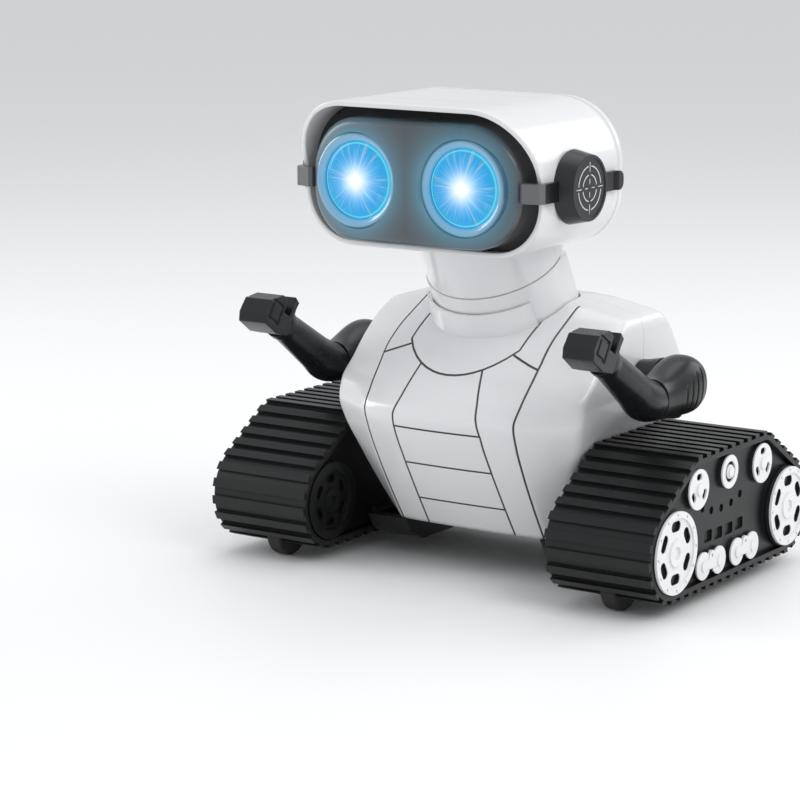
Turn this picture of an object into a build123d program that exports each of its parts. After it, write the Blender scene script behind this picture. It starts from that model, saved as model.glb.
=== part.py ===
"""Toy robot on two fixed track pods: white torso, turning head with glowing eyes, jointed arms.

Millimetres. Origin on the ground, midway between the two track pods; +Z up; the robot faces -Y,
so its left side is +X. The body is symmetric about the plane x = 0.
"""
import os
from math import atan2, cos, degrees, hypot, pi, radians, sin

from build123d import *

os.makedirs("parts", exist_ok=True)

# ---------------------------------------------------------------- driving dimensions
WALL = 2.2                      # moulded wall thickness of the white shells
GAP = 0.3                       # working gap between pieces on different bodies

# track pods (left pod; the right one is its mirror image)
POD_INNER_X = 60.0
POD_OUTER_X = 109.0
BIG_WHEEL_Y, BIG_WHEEL_Z = 50.4, 27.2
TRACK_R = 19.6                  # track strip round the big wheels, without the cleats
TOP_CORNER_Y, TOP_CORNER_Z, TOP_CORNER_R = 28.9, 51.5, 10.4
STRIP = 2.0                     # thickness of the track strip
CLEAT_HEIGHT, CLEAT_WIDTH, CLEAT_COUNT = 1.6, 3.9, 46
HUB_R = 17.5                    # white disc on each big wheel
UPPER_WHEELS = [(-29.2, 49.3, 8.5), (-2.0, 51.8, 7.1), (27.8, 50.0, 8.5)]
ROLLER_PAIRS = [(-23.7, 15.8), (6.3, 15.8)]    # first roller of each pair
ROLLER_PITCH, ROLLER_R = 13.6, 5.9
PANEL_RECESS, PANEL_T = 2.6, 2.0
OUTER_FACE = POD_OUTER_X - PANEL_RECESS        # outer face of the outer side panel
INNER_FACE = POD_INNER_X + PANEL_RECESS        # inboard face of the inner side panel
TYRE_STEP = 1.8                 # black tyre standing behind each white disc

# ground wheels and their drive
WHEEL_X, WHEEL_WIDTH = 84.0, 7.0
FRONT_WHEEL_Y, FRONT_WHEEL_R = -50.4, 11.0
REAR_WHEEL_Y, REAR_WHEEL_R = 22.0, 16.2
FRONT_PIN_R, AXLE_R, POST_R = 1.0, 1.5, 1.0
MODULE = 0.4                    # gear module
WHEEL_TEETH, IDLER_BIG, IDLER_SMALL, PINION_TEETH = 30, 28, 10, 10
BACKLASH = 0.15                 # added to each centre distance
IDLER_HEADING = radians(150)    # from the rear axle to the idler
PINION_HEADING = radians(170)   # from the idler to the motor pinion
WHEEL_GEAR_X, IDLER_BIG_X, PINION_X = 34.0, 30.0, 29.6
MOTOR_R, MOTOR_LENGTH = 9.5, 25.0

# chassis tub
HULL_HALF_W = 54.0
HULL_TOP, HULL_BOTTOM = 18.4, 7.0
HULL_FRONT_Y, HULL_REAR_Y = -31.0, 46.0

# torso
SEAM_Y = 8.0                    # front and back shells meet here
FACET_X = 37.0                  # corner between the front panel and the cheek
GROOVE_WIDTH, GROOVE_DEPTH = 0.9, 0.7
BOSS_PLACES = [(-33, 34), (33, 34), (-48, 98), (48, 98)]    # screw bosses, x and z

# neck: a column that leans forward, and turns about its own leaning axis
NECK_LEAN = 27.0
NECK_Y, NECK_Z = -13.8, 133.3   # centre of the seam that the head turns on
NECK_R = 29.7
COLUMN_TOP_Z = 141.2
SPIGOT_R = 20.0

# head
HEAD_HALF_W = 58.0
HEAD_BOTTOM, HEAD_TOP = 143.6, 205.0
HEAD_BACK_Y, HEAD_SPLIT_Y = 4.0, -10.0
EYE_X, EYE_Z = 25.8, 172.2
EYE_R, EYE_RING_R = 16.0, 19.9
VISOR_Y, VISOR_HALF_W = -83.0, 50.6
EAR_Y, EAR_Z, EAR_R = -48.0, 172.0, 13.5

# arms (left arm; the right one is its mirror image)
ARM_X, ARM_HALF_T = 80.0, 11.0
SHOULDER_Y, SHOULDER_Z, SHOULDER_PIN_R = 5.0, 85.5, 5.0
TORSO_SIDE_X = 61.0
ELBOW_Y, ELBOW_Z = -20.0, 82.0
WRIST_Y, WRIST_Z = -61.0, 105.6
WRIST_TILT = 31.5               # the forearm rises by this angle


# ---------------------------------------------------------------- shared shapes
def save(builder, name):
    """Label a finished sub-part and write it as one STEP file."""
    builder.part.label = name
    export_step(builder.part, f"parts/{name}.step")


def side_plane(x):
    """Sketch plane across the robot at x: local x is +Y, local y is +Z, normal +X."""
    return Plane(origin=(x, 0, 0), x_dir=(0, 1, 0), z_dir=(1, 0, 0))


def front_plane(y):
    """Sketch plane facing the robot at y: local x is +X, local y is +Z, normal -Y."""
    return Plane(origin=(0, y, 0), x_dir=(1, 0, 0), z_dir=(0, -1, 0))


def disc_at(u, v, radius):
    """Round face away from its sketch's origin."""
    with BuildSketch() as face:
        with Locations((u, v)):
            Circle(radius)
    return face.sketch


def prism(face, plane, length):
    """Solid of a flat face, placed on a plane and extruded along its normal."""
    with BuildPart() as solid:
        with BuildSketch(plane):
            add(face)
        extrude(amount=length)
    return solid.part


def cross_rod(x_low, x_high, y, z, radius):
    """Round rod along X."""
    return prism(disc_at(y, z, radius), side_plane(x_low), x_high - x_low)


def outline(points, radius=0.0):
    """Polygon face with all of its corners rounded."""
    with BuildSketch() as face:
        with BuildLine():
            Polyline(*points, close=True)
        make_face()
        if radius:
            fillet(face.vertices(), radius)
    return face.sketch


def hull_of_circles(circles):
    """Face of the belt-like outline round circles (u, v, r), which are listed anticlockwise."""
    tangents = []
    for (u1, v1, r1), (u2, v2, r2) in zip(circles, circles[1:] + circles[:1]):
        lean = atan2(v2 - v1, u2 - u1) - pi / 2 + atan2(r1 - r2, hypot(u2 - u1, v2 - v1))
        start = (u1 + r1 * cos(lean), v1 + r1 * sin(lean))
        end = (u2 + r2 * cos(lean), v2 + r2 * sin(lean))
        tangents.append((lean, start, end))
    with BuildSketch() as face:
        with BuildLine():
            for index, (lean, start, end) in enumerate(tangents):
                Line(start, end)
                u, v, r = circles[(index + 1) % len(circles)]
                next_lean, next_start, _ = tangents[(index + 1) % len(tangents)]
                middle = lean + ((next_lean - lean) % (2 * pi)) / 2
                ThreePointArc(end, (u + r * cos(middle), v + r * sin(middle)), next_start)
        make_face()
    return face.sketch


def gear_face(teeth, heading, gap_there=False):
    """Spur gear profile with a tooth (or a gap) centred on the heading."""
    pitch_r = MODULE * teeth / 2
    root_r, tip_r = pitch_r - 1.2 * MODULE, pitch_r + 0.95 * MODULE
    pitch = 2 * pi / teeth
    start = heading + (pitch / 2 if gap_there else 0)
    points = []
    for index in range(teeth):
        middle = start + index * pitch
        for radius, share in ((root_r, -0.33), (tip_r, -0.12), (tip_r, 0.12), (root_r, 0.33)):
            angle = middle + share * pitch
            points.append((radius * cos(angle), radius * sin(angle)))
    return outline(points)


def placed(face, u, v):
    """The same face moved in its own plane."""
    return face.moved(Location((u, v, 0)))


# ---------------------------------------------------------------- track pods
def track_loop(grow):
    """Outline of the track loop, grown outwards."""
    return hull_of_circles([
        (-BIG_WHEEL_Y, BIG_WHEEL_Z, TRACK_R + grow),
        (BIG_WHEEL_Y, BIG_WHEEL_Z, TRACK_R + grow),
        (TOP_CORNER_Y, TOP_CORNER_Z, TOP_CORNER_R + grow),
        (-TOP_CORNER_Y, TOP_CORNER_Z, TOP_CORNER_R + grow),
    ])


def make_track_shell():
    """Moulded track: a closed strip with cross cleats, open through the floor for the wheels."""
    with BuildSketch() as strip:
        add(track_loop(0))
        rim = strip.sketch.faces()[0].outer_wire()
        for index in range(CLEAT_COUNT):
            here, along = rim @ (index / CLEAT_COUNT), rim % (index / CLEAT_COUNT)
            with Locations(Location((here.X, here.Y), degrees(atan2(along.Y, along.X)))):
                Trapezoid(CLEAT_WIDTH, 2 * CLEAT_HEIGHT, 72)
        add(track_loop(-STRIP), mode=Mode.SUBTRACT)
    with BuildPart() as shell:
        with BuildSketch(side_plane(POD_INNER_X)):
            add(strip.sketch)
        extrude(amount=POD_OUTER_X - POD_INNER_X)
        for y, radius in ((FRONT_WHEEL_Y, FRONT_WHEEL_R), (REAR_WHEEL_Y, REAR_WHEEL_R)):
            with Locations((WHEEL_X, y, 7.5)):
                Box(WHEEL_WIDTH + 1.6, 2 * radius + 2, 15, mode=Mode.SUBTRACT)
    return shell.part


def make_outer_panel():
    """Outer side plate with tyre steps, a row of bosses, windows and axle holders."""
    with BuildPart() as panel:
        with BuildSketch(side_plane(OUTER_FACE - PANEL_T)):
            add(track_loop(-STRIP - 0.1))
        extrude(amount=PANEL_T)
        add(cross_rod(OUTER_FACE - 8, OUTER_FACE - 1, FRONT_WHEEL_Y, FRONT_WHEEL_R, 3))
        add(cross_rod(OUTER_FACE - 8, OUTER_FACE - 1, REAR_WHEEL_Y, REAR_WHEEL_R, 4))
        add(prism(track_loop(-STRIP - 0.1), side_plane(OUTER_FACE - 10), 10), mode=Mode.INTERSECT)
        with BuildSketch(side_plane(OUTER_FACE)):
            with Locations((-BIG_WHEEL_Y, BIG_WHEEL_Z), (BIG_WHEEL_Y, BIG_WHEEL_Z)):
                Circle(HUB_R)
        extrude(amount=TYRE_STEP)
        with BuildSketch(side_plane(OUTER_FACE)):
            with Locations((-22.1, 39.6), (-14.2, 37.4), (-5.4, 36.7), (3.4, 37.4), (11.3, 39.6)):
                Circle(1.7)
            with Locations((-16.8, 27), (-7.6, 26.6), (1.6, 26.6), (10.8, 27)):
                RectangleRounded(7, 5, 1)
        extrude(amount=-1.2, mode=Mode.SUBTRACT)
        add(cross_rod(OUTER_FACE - 9, OUTER_FACE - 1, FRONT_WHEEL_Y, FRONT_WHEEL_R, FRONT_PIN_R),
            mode=Mode.SUBTRACT)
        add(cross_rod(OUTER_FACE - 9, OUTER_FACE - 1, REAR_WHEEL_Y, REAR_WHEEL_R, AXLE_R + 0.05),
            mode=Mode.SUBTRACT)
    return panel.part


def make_inner_panel():
    """Inner side plate with the front pin's holder and the rear axle's through hole."""
    with BuildPart() as panel:
        with BuildSketch(side_plane(INNER_FACE)):
            add(track_loop(-STRIP - 0.1))
        extrude(amount=PANEL_T)
        add(cross_rod(INNER_FACE + 1, INNER_FACE + 6, FRONT_WHEEL_Y, FRONT_WHEEL_R, 3))
        add(prism(track_loop(-STRIP - 0.1), side_plane(INNER_FACE), 8), mode=Mode.INTERSECT)
        add(cross_rod(INNER_FACE + 1, INNER_FACE + 7, FRONT_WHEEL_Y, FRONT_WHEEL_R, FRONT_PIN_R),
            mode=Mode.SUBTRACT)
        add(cross_rod(INNER_FACE - 1, INNER_FACE + 7, REAR_WHEEL_Y, REAR_WHEEL_R, AXLE_R + 0.5),
            mode=Mode.SUBTRACT)
    return panel.part


def make_hub_discs():
    """Two white dished discs with hook windows, a rivet ring and a small centre hub."""
    with BuildPart() as discs:
        for y in (-BIG_WHEEL_Y, BIG_WHEEL_Y):
            with BuildSketch(side_plane(OUTER_FACE + TYRE_STEP)):
                with Locations((y, BIG_WHEEL_Z)):
                    Circle(HUB_R - 0.3)
                    with PolarLocations(11.0, 6, start_angle=30):
                        SlotOverall(7.6, 4.4, rotation=90, mode=Mode.SUBTRACT)
            extrude(amount=1.4)
            with BuildSketch(side_plane(OUTER_FACE + TYRE_STEP + 1.4)):
                with Locations((y, BIG_WHEEL_Z)):
                    Circle(HUB_R - 0.3)
                    Circle(14.4, mode=Mode.SUBTRACT)
                    Circle(5.6)
                    Circle(2.6, mode=Mode.SUBTRACT)
                    with PolarLocations(15.8, 12):
                        Circle(0.65, mode=Mode.SUBTRACT)
            extrude(amount=0.8)
    return discs.part


def make_upper_wheels():
    """Three small white wheels under the top run: two spoked ones and a plain ring."""
    with BuildPart() as wheels:
        for y, z, radius in UPPER_WHEELS:
            with BuildSketch(side_plane(OUTER_FACE)):
                with Locations((y, z)):
                    Circle(radius)
                    if radius > 8:
                        with PolarLocations(0.62 * radius, 3, start_angle=90):
                            SlotOverall(4.6, 2.8, rotation=90, mode=Mode.SUBTRACT)
                    else:
                        Circle(0.62 * radius, mode=Mode.SUBTRACT)
                        Circle(0.42 * radius)
            extrude(amount=2.2)
            if radius < 8:
                add(cross_rod(OUTER_FACE, OUTER_FACE + 0.8, y, z, 0.9 * radius))
            add(cross_rod(OUTER_FACE, OUTER_FACE + 3.0, y, z, 0.3 * radius))
    return wheels.part


def make_roller_links():
    """Two white bone-shaped links, each over a pair of rollers."""
    with BuildPart() as links:
        for y, z in ROLLER_PAIRS:
            for centre in (y, y + ROLLER_PITCH):
                add(cross_rod(OUTER_FACE, OUTER_FACE + 2.0, centre, z, ROLLER_R))
                add(cross_rod(OUTER_FACE + 2.0, OUTER_FACE + 2.8, centre, z, 2.4))
            with BuildSketch(side_plane(OUTER_FACE)):
                with Locations((y + ROLLER_PITCH / 2, z)):
                    Rectangle(ROLLER_PITCH, 4.4)
                with Locations((y + ROLLER_PITCH / 2, z + 3.0)):
                    Circle(2.6)
                with Locations((y + ROLLER_PITCH / 2, z + 3.4)):
                    Circle(0.7, mode=Mode.SUBTRACT)
            extrude(amount=2.4)
    return links.part


def make_inner_wheels():
    """Two black dished discs with slots, on the inboard face of the inner panel."""
    with BuildPart() as wheels:
        for y in (-BIG_WHEEL_Y, BIG_WHEEL_Y):
            with BuildSketch(side_plane(POD_INNER_X + 0.4)):
                with Locations((y, BIG_WHEEL_Z)):
                    Circle(17.0)
                    with PolarLocations(9.5, 6, start_angle=90):
                        SlotOverall(6.4, 3.4, rotation=90, mode=Mode.SUBTRACT)
            extrude(amount=PANEL_RECESS - 0.4)
            with BuildSketch(side_plane(POD_INNER_X - 0.8)):
                with Locations((y, BIG_WHEEL_Z)):
                    Circle(17.0)
                    Circle(13.2, mode=Mode.SUBTRACT)
                    Circle(5.0)
                    Circle(2.4, mode=Mode.SUBTRACT)
            extrude(amount=1.2)
    return wheels.part


def make_front_wheel():
    """Small free wheel that turns on a steel pin."""
    with BuildPart() as wheel:
        with BuildSketch(side_plane(WHEEL_X - WHEEL_WIDTH / 2)):
            with Locations((FRONT_WHEEL_Y, FRONT_WHEEL_R)):
                Circle(FRONT_WHEEL_R)
                Circle(FRONT_PIN_R + 0.05, mode=Mode.SUBTRACT)
        extrude(amount=WHEEL_WIDTH)
        fillet(wheel.edges().filter_by(GeomType.CIRCLE).group_by(SortBy.RADIUS)[-1], 1.2)
    return wheel.part


def make_rear_wheel():
    """Driven wheel with its axle and the gear pressed on the axle's inner end."""
    with BuildPart() as wheel:
        with BuildSketch(side_plane(WHEEL_X - WHEEL_WIDTH / 2)):
            with Locations((REAR_WHEEL_Y, REAR_WHEEL_R)):
                Circle(REAR_WHEEL_R)
        extrude(amount=WHEEL_WIDTH)
        fillet(wheel.edges().filter_by(GeomType.CIRCLE), 1.2)
        add(cross_rod(WHEEL_X - 6, WHEEL_X + 6, REAR_WHEEL_Y, REAR_WHEEL_R, 5))
        add(cross_rod(WHEEL_GEAR_X - 1, OUTER_FACE - 1.5, REAR_WHEEL_Y, REAR_WHEEL_R, AXLE_R))
        with BuildSketch(side_plane(WHEEL_GEAR_X)):
            add(placed(gear_face(WHEEL_TEETH, IDLER_HEADING), REAR_WHEEL_Y, REAR_WHEEL_R))
        extrude(amount=3)
    return wheel.part


IDLER_SPAN = MODULE * (WHEEL_TEETH + IDLER_SMALL) / 2 + BACKLASH
IDLER_Y = REAR_WHEEL_Y + IDLER_SPAN * cos(IDLER_HEADING)
IDLER_Z = REAR_WHEEL_R + IDLER_SPAN * sin(IDLER_HEADING)
PINION_SPAN = MODULE * (IDLER_BIG + PINION_TEETH) / 2 + BACKLASH
PINION_Y = IDLER_Y + PINION_SPAN * cos(PINION_HEADING)
PINION_Z = IDLER_Z + PINION_SPAN * sin(PINION_HEADING)


def make_idler():
    """Two-step gear that turns on the gearbox plate's post."""
    with BuildPart() as idler:
        with BuildSketch(side_plane(IDLER_BIG_X)):
            add(placed(gear_face(IDLER_BIG, PINION_HEADING), IDLER_Y, IDLER_Z))
        extrude(amount=2.5)
        with BuildSketch(side_plane(IDLER_BIG_X + 2.5)):
            add(placed(gear_face(IDLER_SMALL, IDLER_HEADING + pi, gap_there=True), IDLER_Y, IDLER_Z))
        extrude(amount=WHEEL_GEAR_X + 3.2 - IDLER_BIG_X - 2.5)
        add(cross_rod(IDLER_BIG_X - 1, WHEEL_GEAR_X + 4, IDLER_Y, IDLER_Z, POST_R + 0.05),
            mode=Mode.SUBTRACT)
    return idler.part


def make_pinion():
    """Motor pinion with its shaft."""
    with BuildPart() as pinion:
        with BuildSketch(side_plane(PINION_X)):
            add(placed(gear_face(PINION_TEETH, PINION_HEADING + pi, gap_there=True),
                       PINION_Y, PINION_Z))
        extrude(amount=3.3)
        add(cross_rod(PINION_X - 5, PINION_X, PINION_Y, PINION_Z, 0.75))
    return pinion.part


def make_motor():
    """Small brushed motor: flat-sided can with a shaft hole."""
    with BuildPart() as motor:
        with BuildSketch(side_plane(PINION_X - 0.6 - MOTOR_LENGTH)):
            with Locations((PINION_Y, PINION_Z)):
                Circle(MOTOR_R)
                Rectangle(2 * MOTOR_R + 1, 15, mode=Mode.INTERSECT)
        extrude(amount=MOTOR_LENGTH)
        add(cross_rod(PINION_X - 6, PINION_X, PINION_Y, PINION_Z, 0.8), mode=Mode.SUBTRACT)
    return motor.part


def make_gearbox_plate():
    """Bracket that stands on the tub's floor, with the idler's post and the axle's bearing."""
    plate_x, plate_t = WHEEL_GEAR_X + 4.2, 2.0
    with BuildPart() as plate:
        with BuildSketch(side_plane(plate_x)):
            add(outline([(6, 9), (27, 9), (27, 18.5), (20, 24), (8, 24)], 1.5))
        extrude(amount=plate_t)
        with Locations((plate_x + 4, 17.5, 9.8)):
            Box(6, 23, 1.6)
        add(cross_rod(IDLER_BIG_X - 0.4, plate_x, IDLER_Y, IDLER_Z, POST_R))
        add(cross_rod(plate_x - 1, plate_x + plate_t + 1, REAR_WHEEL_Y, REAR_WHEEL_R, AXLE_R + 0.05),
            mode=Mode.SUBTRACT)
    return plate.part


POD_PIECES = {
    "track_shell": make_track_shell,
    "outer_panel": make_outer_panel,
    "inner_panel": make_inner_panel,
    "hub_discs": make_hub_discs,
    "upper_wheels": make_upper_wheels,
    "roller_links": make_roller_links,
    "front_wheel": make_front_wheel,
    "rear_wheel": make_rear_wheel,
    "idler_gear": make_idler,
    "motor_pinion": make_pinion,
    "drive_motor": make_motor,
    "gearbox_plate": make_gearbox_plate,
}


def save_pair(name, make_left):
    """Write a left-hand piece, and the same piece mirrored for the right-hand side."""
    with BuildPart() as left_piece:
        add(make_left())
    save(left_piece, f"{name}_left")
    with BuildPart() as right_piece:
        add(make_left())
        mirror(about=Plane.YZ, mode=Mode.REPLACE)
    save(right_piece, f"{name}_right")


for piece_name, make_piece in POD_PIECES.items():
    save_pair(piece_name, make_piece)

with BuildPart() as inner_wheels:
    inner_left = make_inner_wheels()
    add(inner_left)
    add(mirror(inner_left, about=Plane.YZ))
save(inner_wheels, "inner_wheels")

with BuildPart() as front_axle_pins:
    for side in (1, -1):
        pin_low, pin_high = INNER_FACE + 1.0, OUTER_FACE - 1.0
        start_x = pin_low if side > 0 else -pin_high
        add(cross_rod(start_x, start_x + pin_high - pin_low, FRONT_WHEEL_Y, FRONT_WHEEL_R, FRONT_PIN_R))
save(front_axle_pins, "front_axle_pins")


# ---------------------------------------------------------------- torso
# height; y of the front at the centre and at the facet; half width; y of the cheek's front and
# back edges; y of the rear at the facet and at the centre
TORSO_SECTIONS = [
    (18.6, -31.5, -30.0, 45.0, -21.0, 25.0, 33.0, 34.5),
    (34.0, -41.4, -39.8, 49.5, -30.0, 34.0, 43.0, 44.5),
    (50.0, -51.4, -49.2, 54.2, -38.0, 41.0, 51.0, 53.0),
    (64.0, -59.4, -56.2, 59.4, -42.5, 46.0, 56.5, 59.0),
    (72.0, -62.4, -58.6, 61.0, -44.0, 47.5, 58.0, 61.0),
    (80.0, -58.0, -53.6, 61.0, -42.5, 47.0, 57.0, 60.0),
    (89.0, -51.2, -46.0, 61.0, -33.0, 43.5, 53.0, 56.0),
    (97.0, -43.0, -38.8, 61.0, -24.5, 38.5, 47.5, 50.0),
    (104.0, -33.0, -29.5, 61.0, -15.5, 33.5, 41.5, 43.5),
    (110.0, -22.0, -18.0, 59.5, -6.5, 28.0, 34.5, 36.0),
    (115.5, -10.0, -7.0, 43.0, 0.0, 21.0, 26.0, 27.0),
]


def torso_section(height, sizes, inset):
    """Rounded eight-sided outline of the torso at one height."""
    front, front_facet, half_w, cheek, cheek_back, rear_facet, rear = sizes
    facet = min(FACET_X, half_w - 8)
    with BuildSketch(Plane.XY.offset(height)) as section:
        with BuildLine():
            ThreePointArc((-facet, front_facet + inset), (0, front + inset),
                          (facet, front_facet + inset))
            Polyline((facet, front_facet + inset), (half_w - inset, cheek + inset / 2),
                     (half_w - inset, cheek_back - inset / 2), (facet, rear_facet - inset))
            ThreePointArc((facet, rear_facet - inset), (0, rear - inset),
                          (-facet, rear_facet - inset))
            Polyline((-facet, rear_facet - inset), (inset - half_w, cheek_back - inset / 2),
                     (inset - half_w, cheek + inset / 2), (-facet, front_facet + inset))
        make_face()
        fillet(section.vertices(), 5.0)
    return section.sketch


def torso_block(inset=0.0):
    """Solid torso, shrunk by the inset everywhere but at its open bottom."""
    low, high = TORSO_SECTIONS[0][0], TORSO_SECTIONS[-1][0]
    with BuildPart() as block:
        for height, *sizes in TORSO_SECTIONS:
            share = max(0.0, (height - 64) / (high - 64))
            add(torso_section(height - inset * share, sizes, inset * (1 + 0.25 * share)))
        loft(ruled=True)
    if inset:
        with BuildPart() as skirted:
            add(block.part)
            add(torso_section(low, TORSO_SECTIONS[0][1:], inset))
            extrude(amount=-2)
        return skirted.part
    return block.part


neck_plane = Plane(origin=(0, NECK_Y, NECK_Z), x_dir=(1, 0, 0),
                   z_dir=(0, -sin(radians(NECK_LEAN)), cos(radians(NECK_LEAN))))


def neck_ring(outer_low, outer_high, inner, low, high):
    """Ring about the leaning neck axis, its outside tapering from low to high."""
    with BuildPart() as ring:
        with BuildSketch(neck_plane.offset(low)):
            Circle(outer_low)
        if outer_high == outer_low:
            extrude(amount=high - low)
        else:
            with BuildSketch(neck_plane.offset(high)):
                Circle(outer_high)
            loft()
        if inner:
            with BuildSketch(neck_plane.offset(low - 1)):
                Circle(inner)
            extrude(amount=high - low + 2, mode=Mode.SUBTRACT)
    return ring.part


def below(height):
    """Everything near the neck that lies under a height."""
    with BuildPart() as space:
        with Locations((0, 0, height - 60)):
            Box(160, 160, 120)
    return space.part


def groove_face(lines_by_side, across):
    """Panel lines seen from the front: each line on both sides, and the lines that cross."""
    with BuildSketch() as lines:
        for side in (1, -1):
            for points in lines_by_side:
                with BuildLine() as path:
                    Polyline(*[(side * x, z) for x, z in points])
                trace(path.line, line_width=GROOVE_WIDTH)
        for height in across:
            with BuildLine() as path:
                Line((-21.6, height), (21.6, height))
            trace(path.line, line_width=GROOVE_WIDTH)
        with BuildLine() as path:
            ThreePointArc((-27, 100), (0, 89), (27, 100))
        trace(path.line, line_width=GROOVE_WIDTH)
    return lines.sketch


CENTRE_LINE = [(21.9, 17), (21.5, 66), (20.8, 72), (15.2, 92.4)]
FACET_LINE = [(35.6, 17), (37.1, 72.7), (38.7, 96), (37.2, 117)]
NECK_LINE = [(27, 100), (27.6, 118)]
LINK_LINE = [(25.2, 98.4), (38.5, 93.5)]
FRONT_GROOVES = groove_face([CENTRE_LINE, FACET_LINE, NECK_LINE, LINK_LINE], (31.3, 49.0, 66.3))
REAR_GROOVES = groove_face([FACET_LINE, NECK_LINE], (49.0,))

NECK_HOLE_R = 31.8
BAND_R, BAND_INNER_R = 30.2, 27.8
COLLAR_LOW, COLLAR_HIGH, COLLAR_HALF_ANGLE = -27.0, -7.0, 55
FLOOR_H = -13.7                 # underside of the column's floor, along the neck axis
PLATE_LOW, PLATE_HIGH = -17.0, -14.0
BAND_REAR_Z = 136.0
NECK_BASE_LOW = -46.0

outer_block = torso_block()
inner_block = torso_block(WALL)
skin_block = torso_block(GROOVE_DEPTH)

with BuildPart() as neck_base:
    add(neck_ring(31.0, BAND_R, BAND_INNER_R, NECK_BASE_LOW, 0))
    add(neck_ring(BAND_INNER_R + 0.5, BAND_INNER_R + 0.5, SPIGOT_R + 0.05, PLATE_LOW, PLATE_HIGH))
    add(below(BAND_REAR_Z), mode=Mode.INTERSECT)
save(neck_base, "neck_base")

with BuildPart() as neck_collar:
    add(neck_ring(34.0, 31.9, 31.0, COLLAR_LOW, COLLAR_HIGH))
    reach = 60
    swing = radians(COLLAR_HALF_ANGLE)
    wedge = outline([(0, 0), (-reach * sin(swing), -reach * cos(swing)), (0, -2 * reach),
                     (reach * sin(swing), -reach * cos(swing))])
    add(prism(wedge, neck_plane.offset(COLLAR_LOW - 5), 40), mode=Mode.INTERSECT)
save(neck_collar, "neck_collar")

SCREW_R, SCREW_HEAD_R, SCREW_SEAT = 1.2, 2.8, 6.0


def boss(x, z, radius, y_low, y_high):
    """Round column along Y."""
    return prism(disc_at(x, z, radius), front_plane(y_high), y_high - y_low)


def shoulder_holes(radius):
    """Bores through both side walls for the arms' pivots."""
    return cross_rod(-TORSO_SIDE_X - 5, TORSO_SIDE_X + 5, SHOULDER_Y, SHOULDER_Z, radius)


def torso_shell():
    """Hollow torso, both halves together, open under the neck and over the chassis."""
    with BuildPart() as shell:
        add(outer_block)
        add(neck_ring(NECK_HOLE_R, NECK_HOLE_R, 0, -45, 20), mode=Mode.SUBTRACT)
        add(inner_block, mode=Mode.SUBTRACT)
        add(neck_collar.part, mode=Mode.SUBTRACT)
        add(shoulder_holes(SHOULDER_PIN_R + 0.05), mode=Mode.SUBTRACT)
    return shell.part


def groove_solids(face, y_low, y_high):
    """The panel lines as solids within the skin's depth."""
    with BuildPart() as grooves:
        add(prism(face, front_plane(y_high), y_high - y_low))
        add(outer_block, mode=Mode.INTERSECT)
        add(skin_block, mode=Mode.SUBTRACT)
    return grooves.part


whole_shell = torso_shell()

with BuildPart() as torso_front_shell:
    with Locations((0, SEAM_Y - 60, 70)):
        Box(160, 120, 140)
    add(whole_shell, mode=Mode.INTERSECT)
    for x, z in BOSS_PLACES:
        with BuildPart(mode=Mode.PRIVATE) as post:
            add(boss(x, z, 3.5, -70, SEAM_Y))
            add(inner_block, mode=Mode.INTERSECT)
        add(post.part)
        add(boss(x, z, SCREW_R, SEAM_Y - 11, SEAM_Y), mode=Mode.SUBTRACT)
    add(groove_solids(FRONT_GROOVES, -70, SEAM_Y), mode=Mode.SUBTRACT)
save(torso_front_shell, "torso_front_shell")

SPEAKER_Y, SPEAKER_Z, SPEAKER_R = 44.5, 66.0, 14.0
BOARD_Y = 21.0

with BuildPart() as torso_back_shell:
    with Locations((0, SEAM_Y + 60, 70)):
        Box(160, 120, 140)
    add(whole_shell, mode=Mode.INTERSECT)
    for x, z in BOSS_PLACES:
        with BuildPart(mode=Mode.PRIVATE) as post:
            add(boss(x, z, 3.9, SEAM_Y, 70))
            add(outer_block, mode=Mode.INTERSECT)
        add(post.part)
        add(boss(x, z, SCREW_HEAD_R + 0.1, SEAM_Y + SCREW_SEAT, 75), mode=Mode.SUBTRACT)
        add(boss(x, z, SCREW_R + 0.1, SEAM_Y, SEAM_Y + SCREW_SEAT), mode=Mode.SUBTRACT)
    with BuildPart(mode=Mode.PRIVATE) as supports:
        add(boss(0, SPEAKER_Z, SPEAKER_R + 1.6, SPEAKER_Y, 70))
        add(boss(0, SPEAKER_Z, SPEAKER_R + 0.05, SPEAKER_Y, 70), mode=Mode.SUBTRACT)
        for x in (-22, 22):
            for z in (50, 88):
                add(boss(x, z, 2.2, BOARD_Y + 1.6, 70))
        add(inner_block, mode=Mode.INTERSECT)
    add(supports.part)
    for row in range(-2, 3):
        with Locations((0, 65, SPEAKER_Z + 4.4 * row)):
            Box(20 - 3 * abs(row), 30, 1.8, mode=Mode.SUBTRACT)
    add(groove_solids(REAR_GROOVES, SEAM_Y, 70), mode=Mode.SUBTRACT)
save(torso_back_shell, "torso_back_shell")

with BuildPart() as torso_screws:
    for x, z in BOSS_PLACES:
        add(boss(x, z, SCREW_R, SEAM_Y - 10.5, SEAM_Y + SCREW_SEAT))
        add(boss(x, z, SCREW_HEAD_R, SEAM_Y + SCREW_SEAT, SEAM_Y + SCREW_SEAT + 2))
save(torso_screws, "torso_screws")

with BuildPart() as speaker:
    add(boss(0, SPEAKER_Z, SPEAKER_R, SPEAKER_Y, SPEAKER_Y + 3))
    add(boss(0, SPEAKER_Z, 8.0, SPEAKER_Y - 5, SPEAKER_Y))
save(speaker, "speaker")

with BuildPart() as main_board:
    with Locations((0, BOARD_Y + 0.8, 69)):
        Box(54, 1.6, 46)
    for x, z, width, height in ((-10, 72, 12, 12), (12, 78, 8, 6), (14, 60, 10, 5), (-16, 54, 6, 6)):
        with Locations((x, BOARD_Y - 1.0, z)):
            Box(width, 2.0, height)
save(main_board, "main_board")

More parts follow.
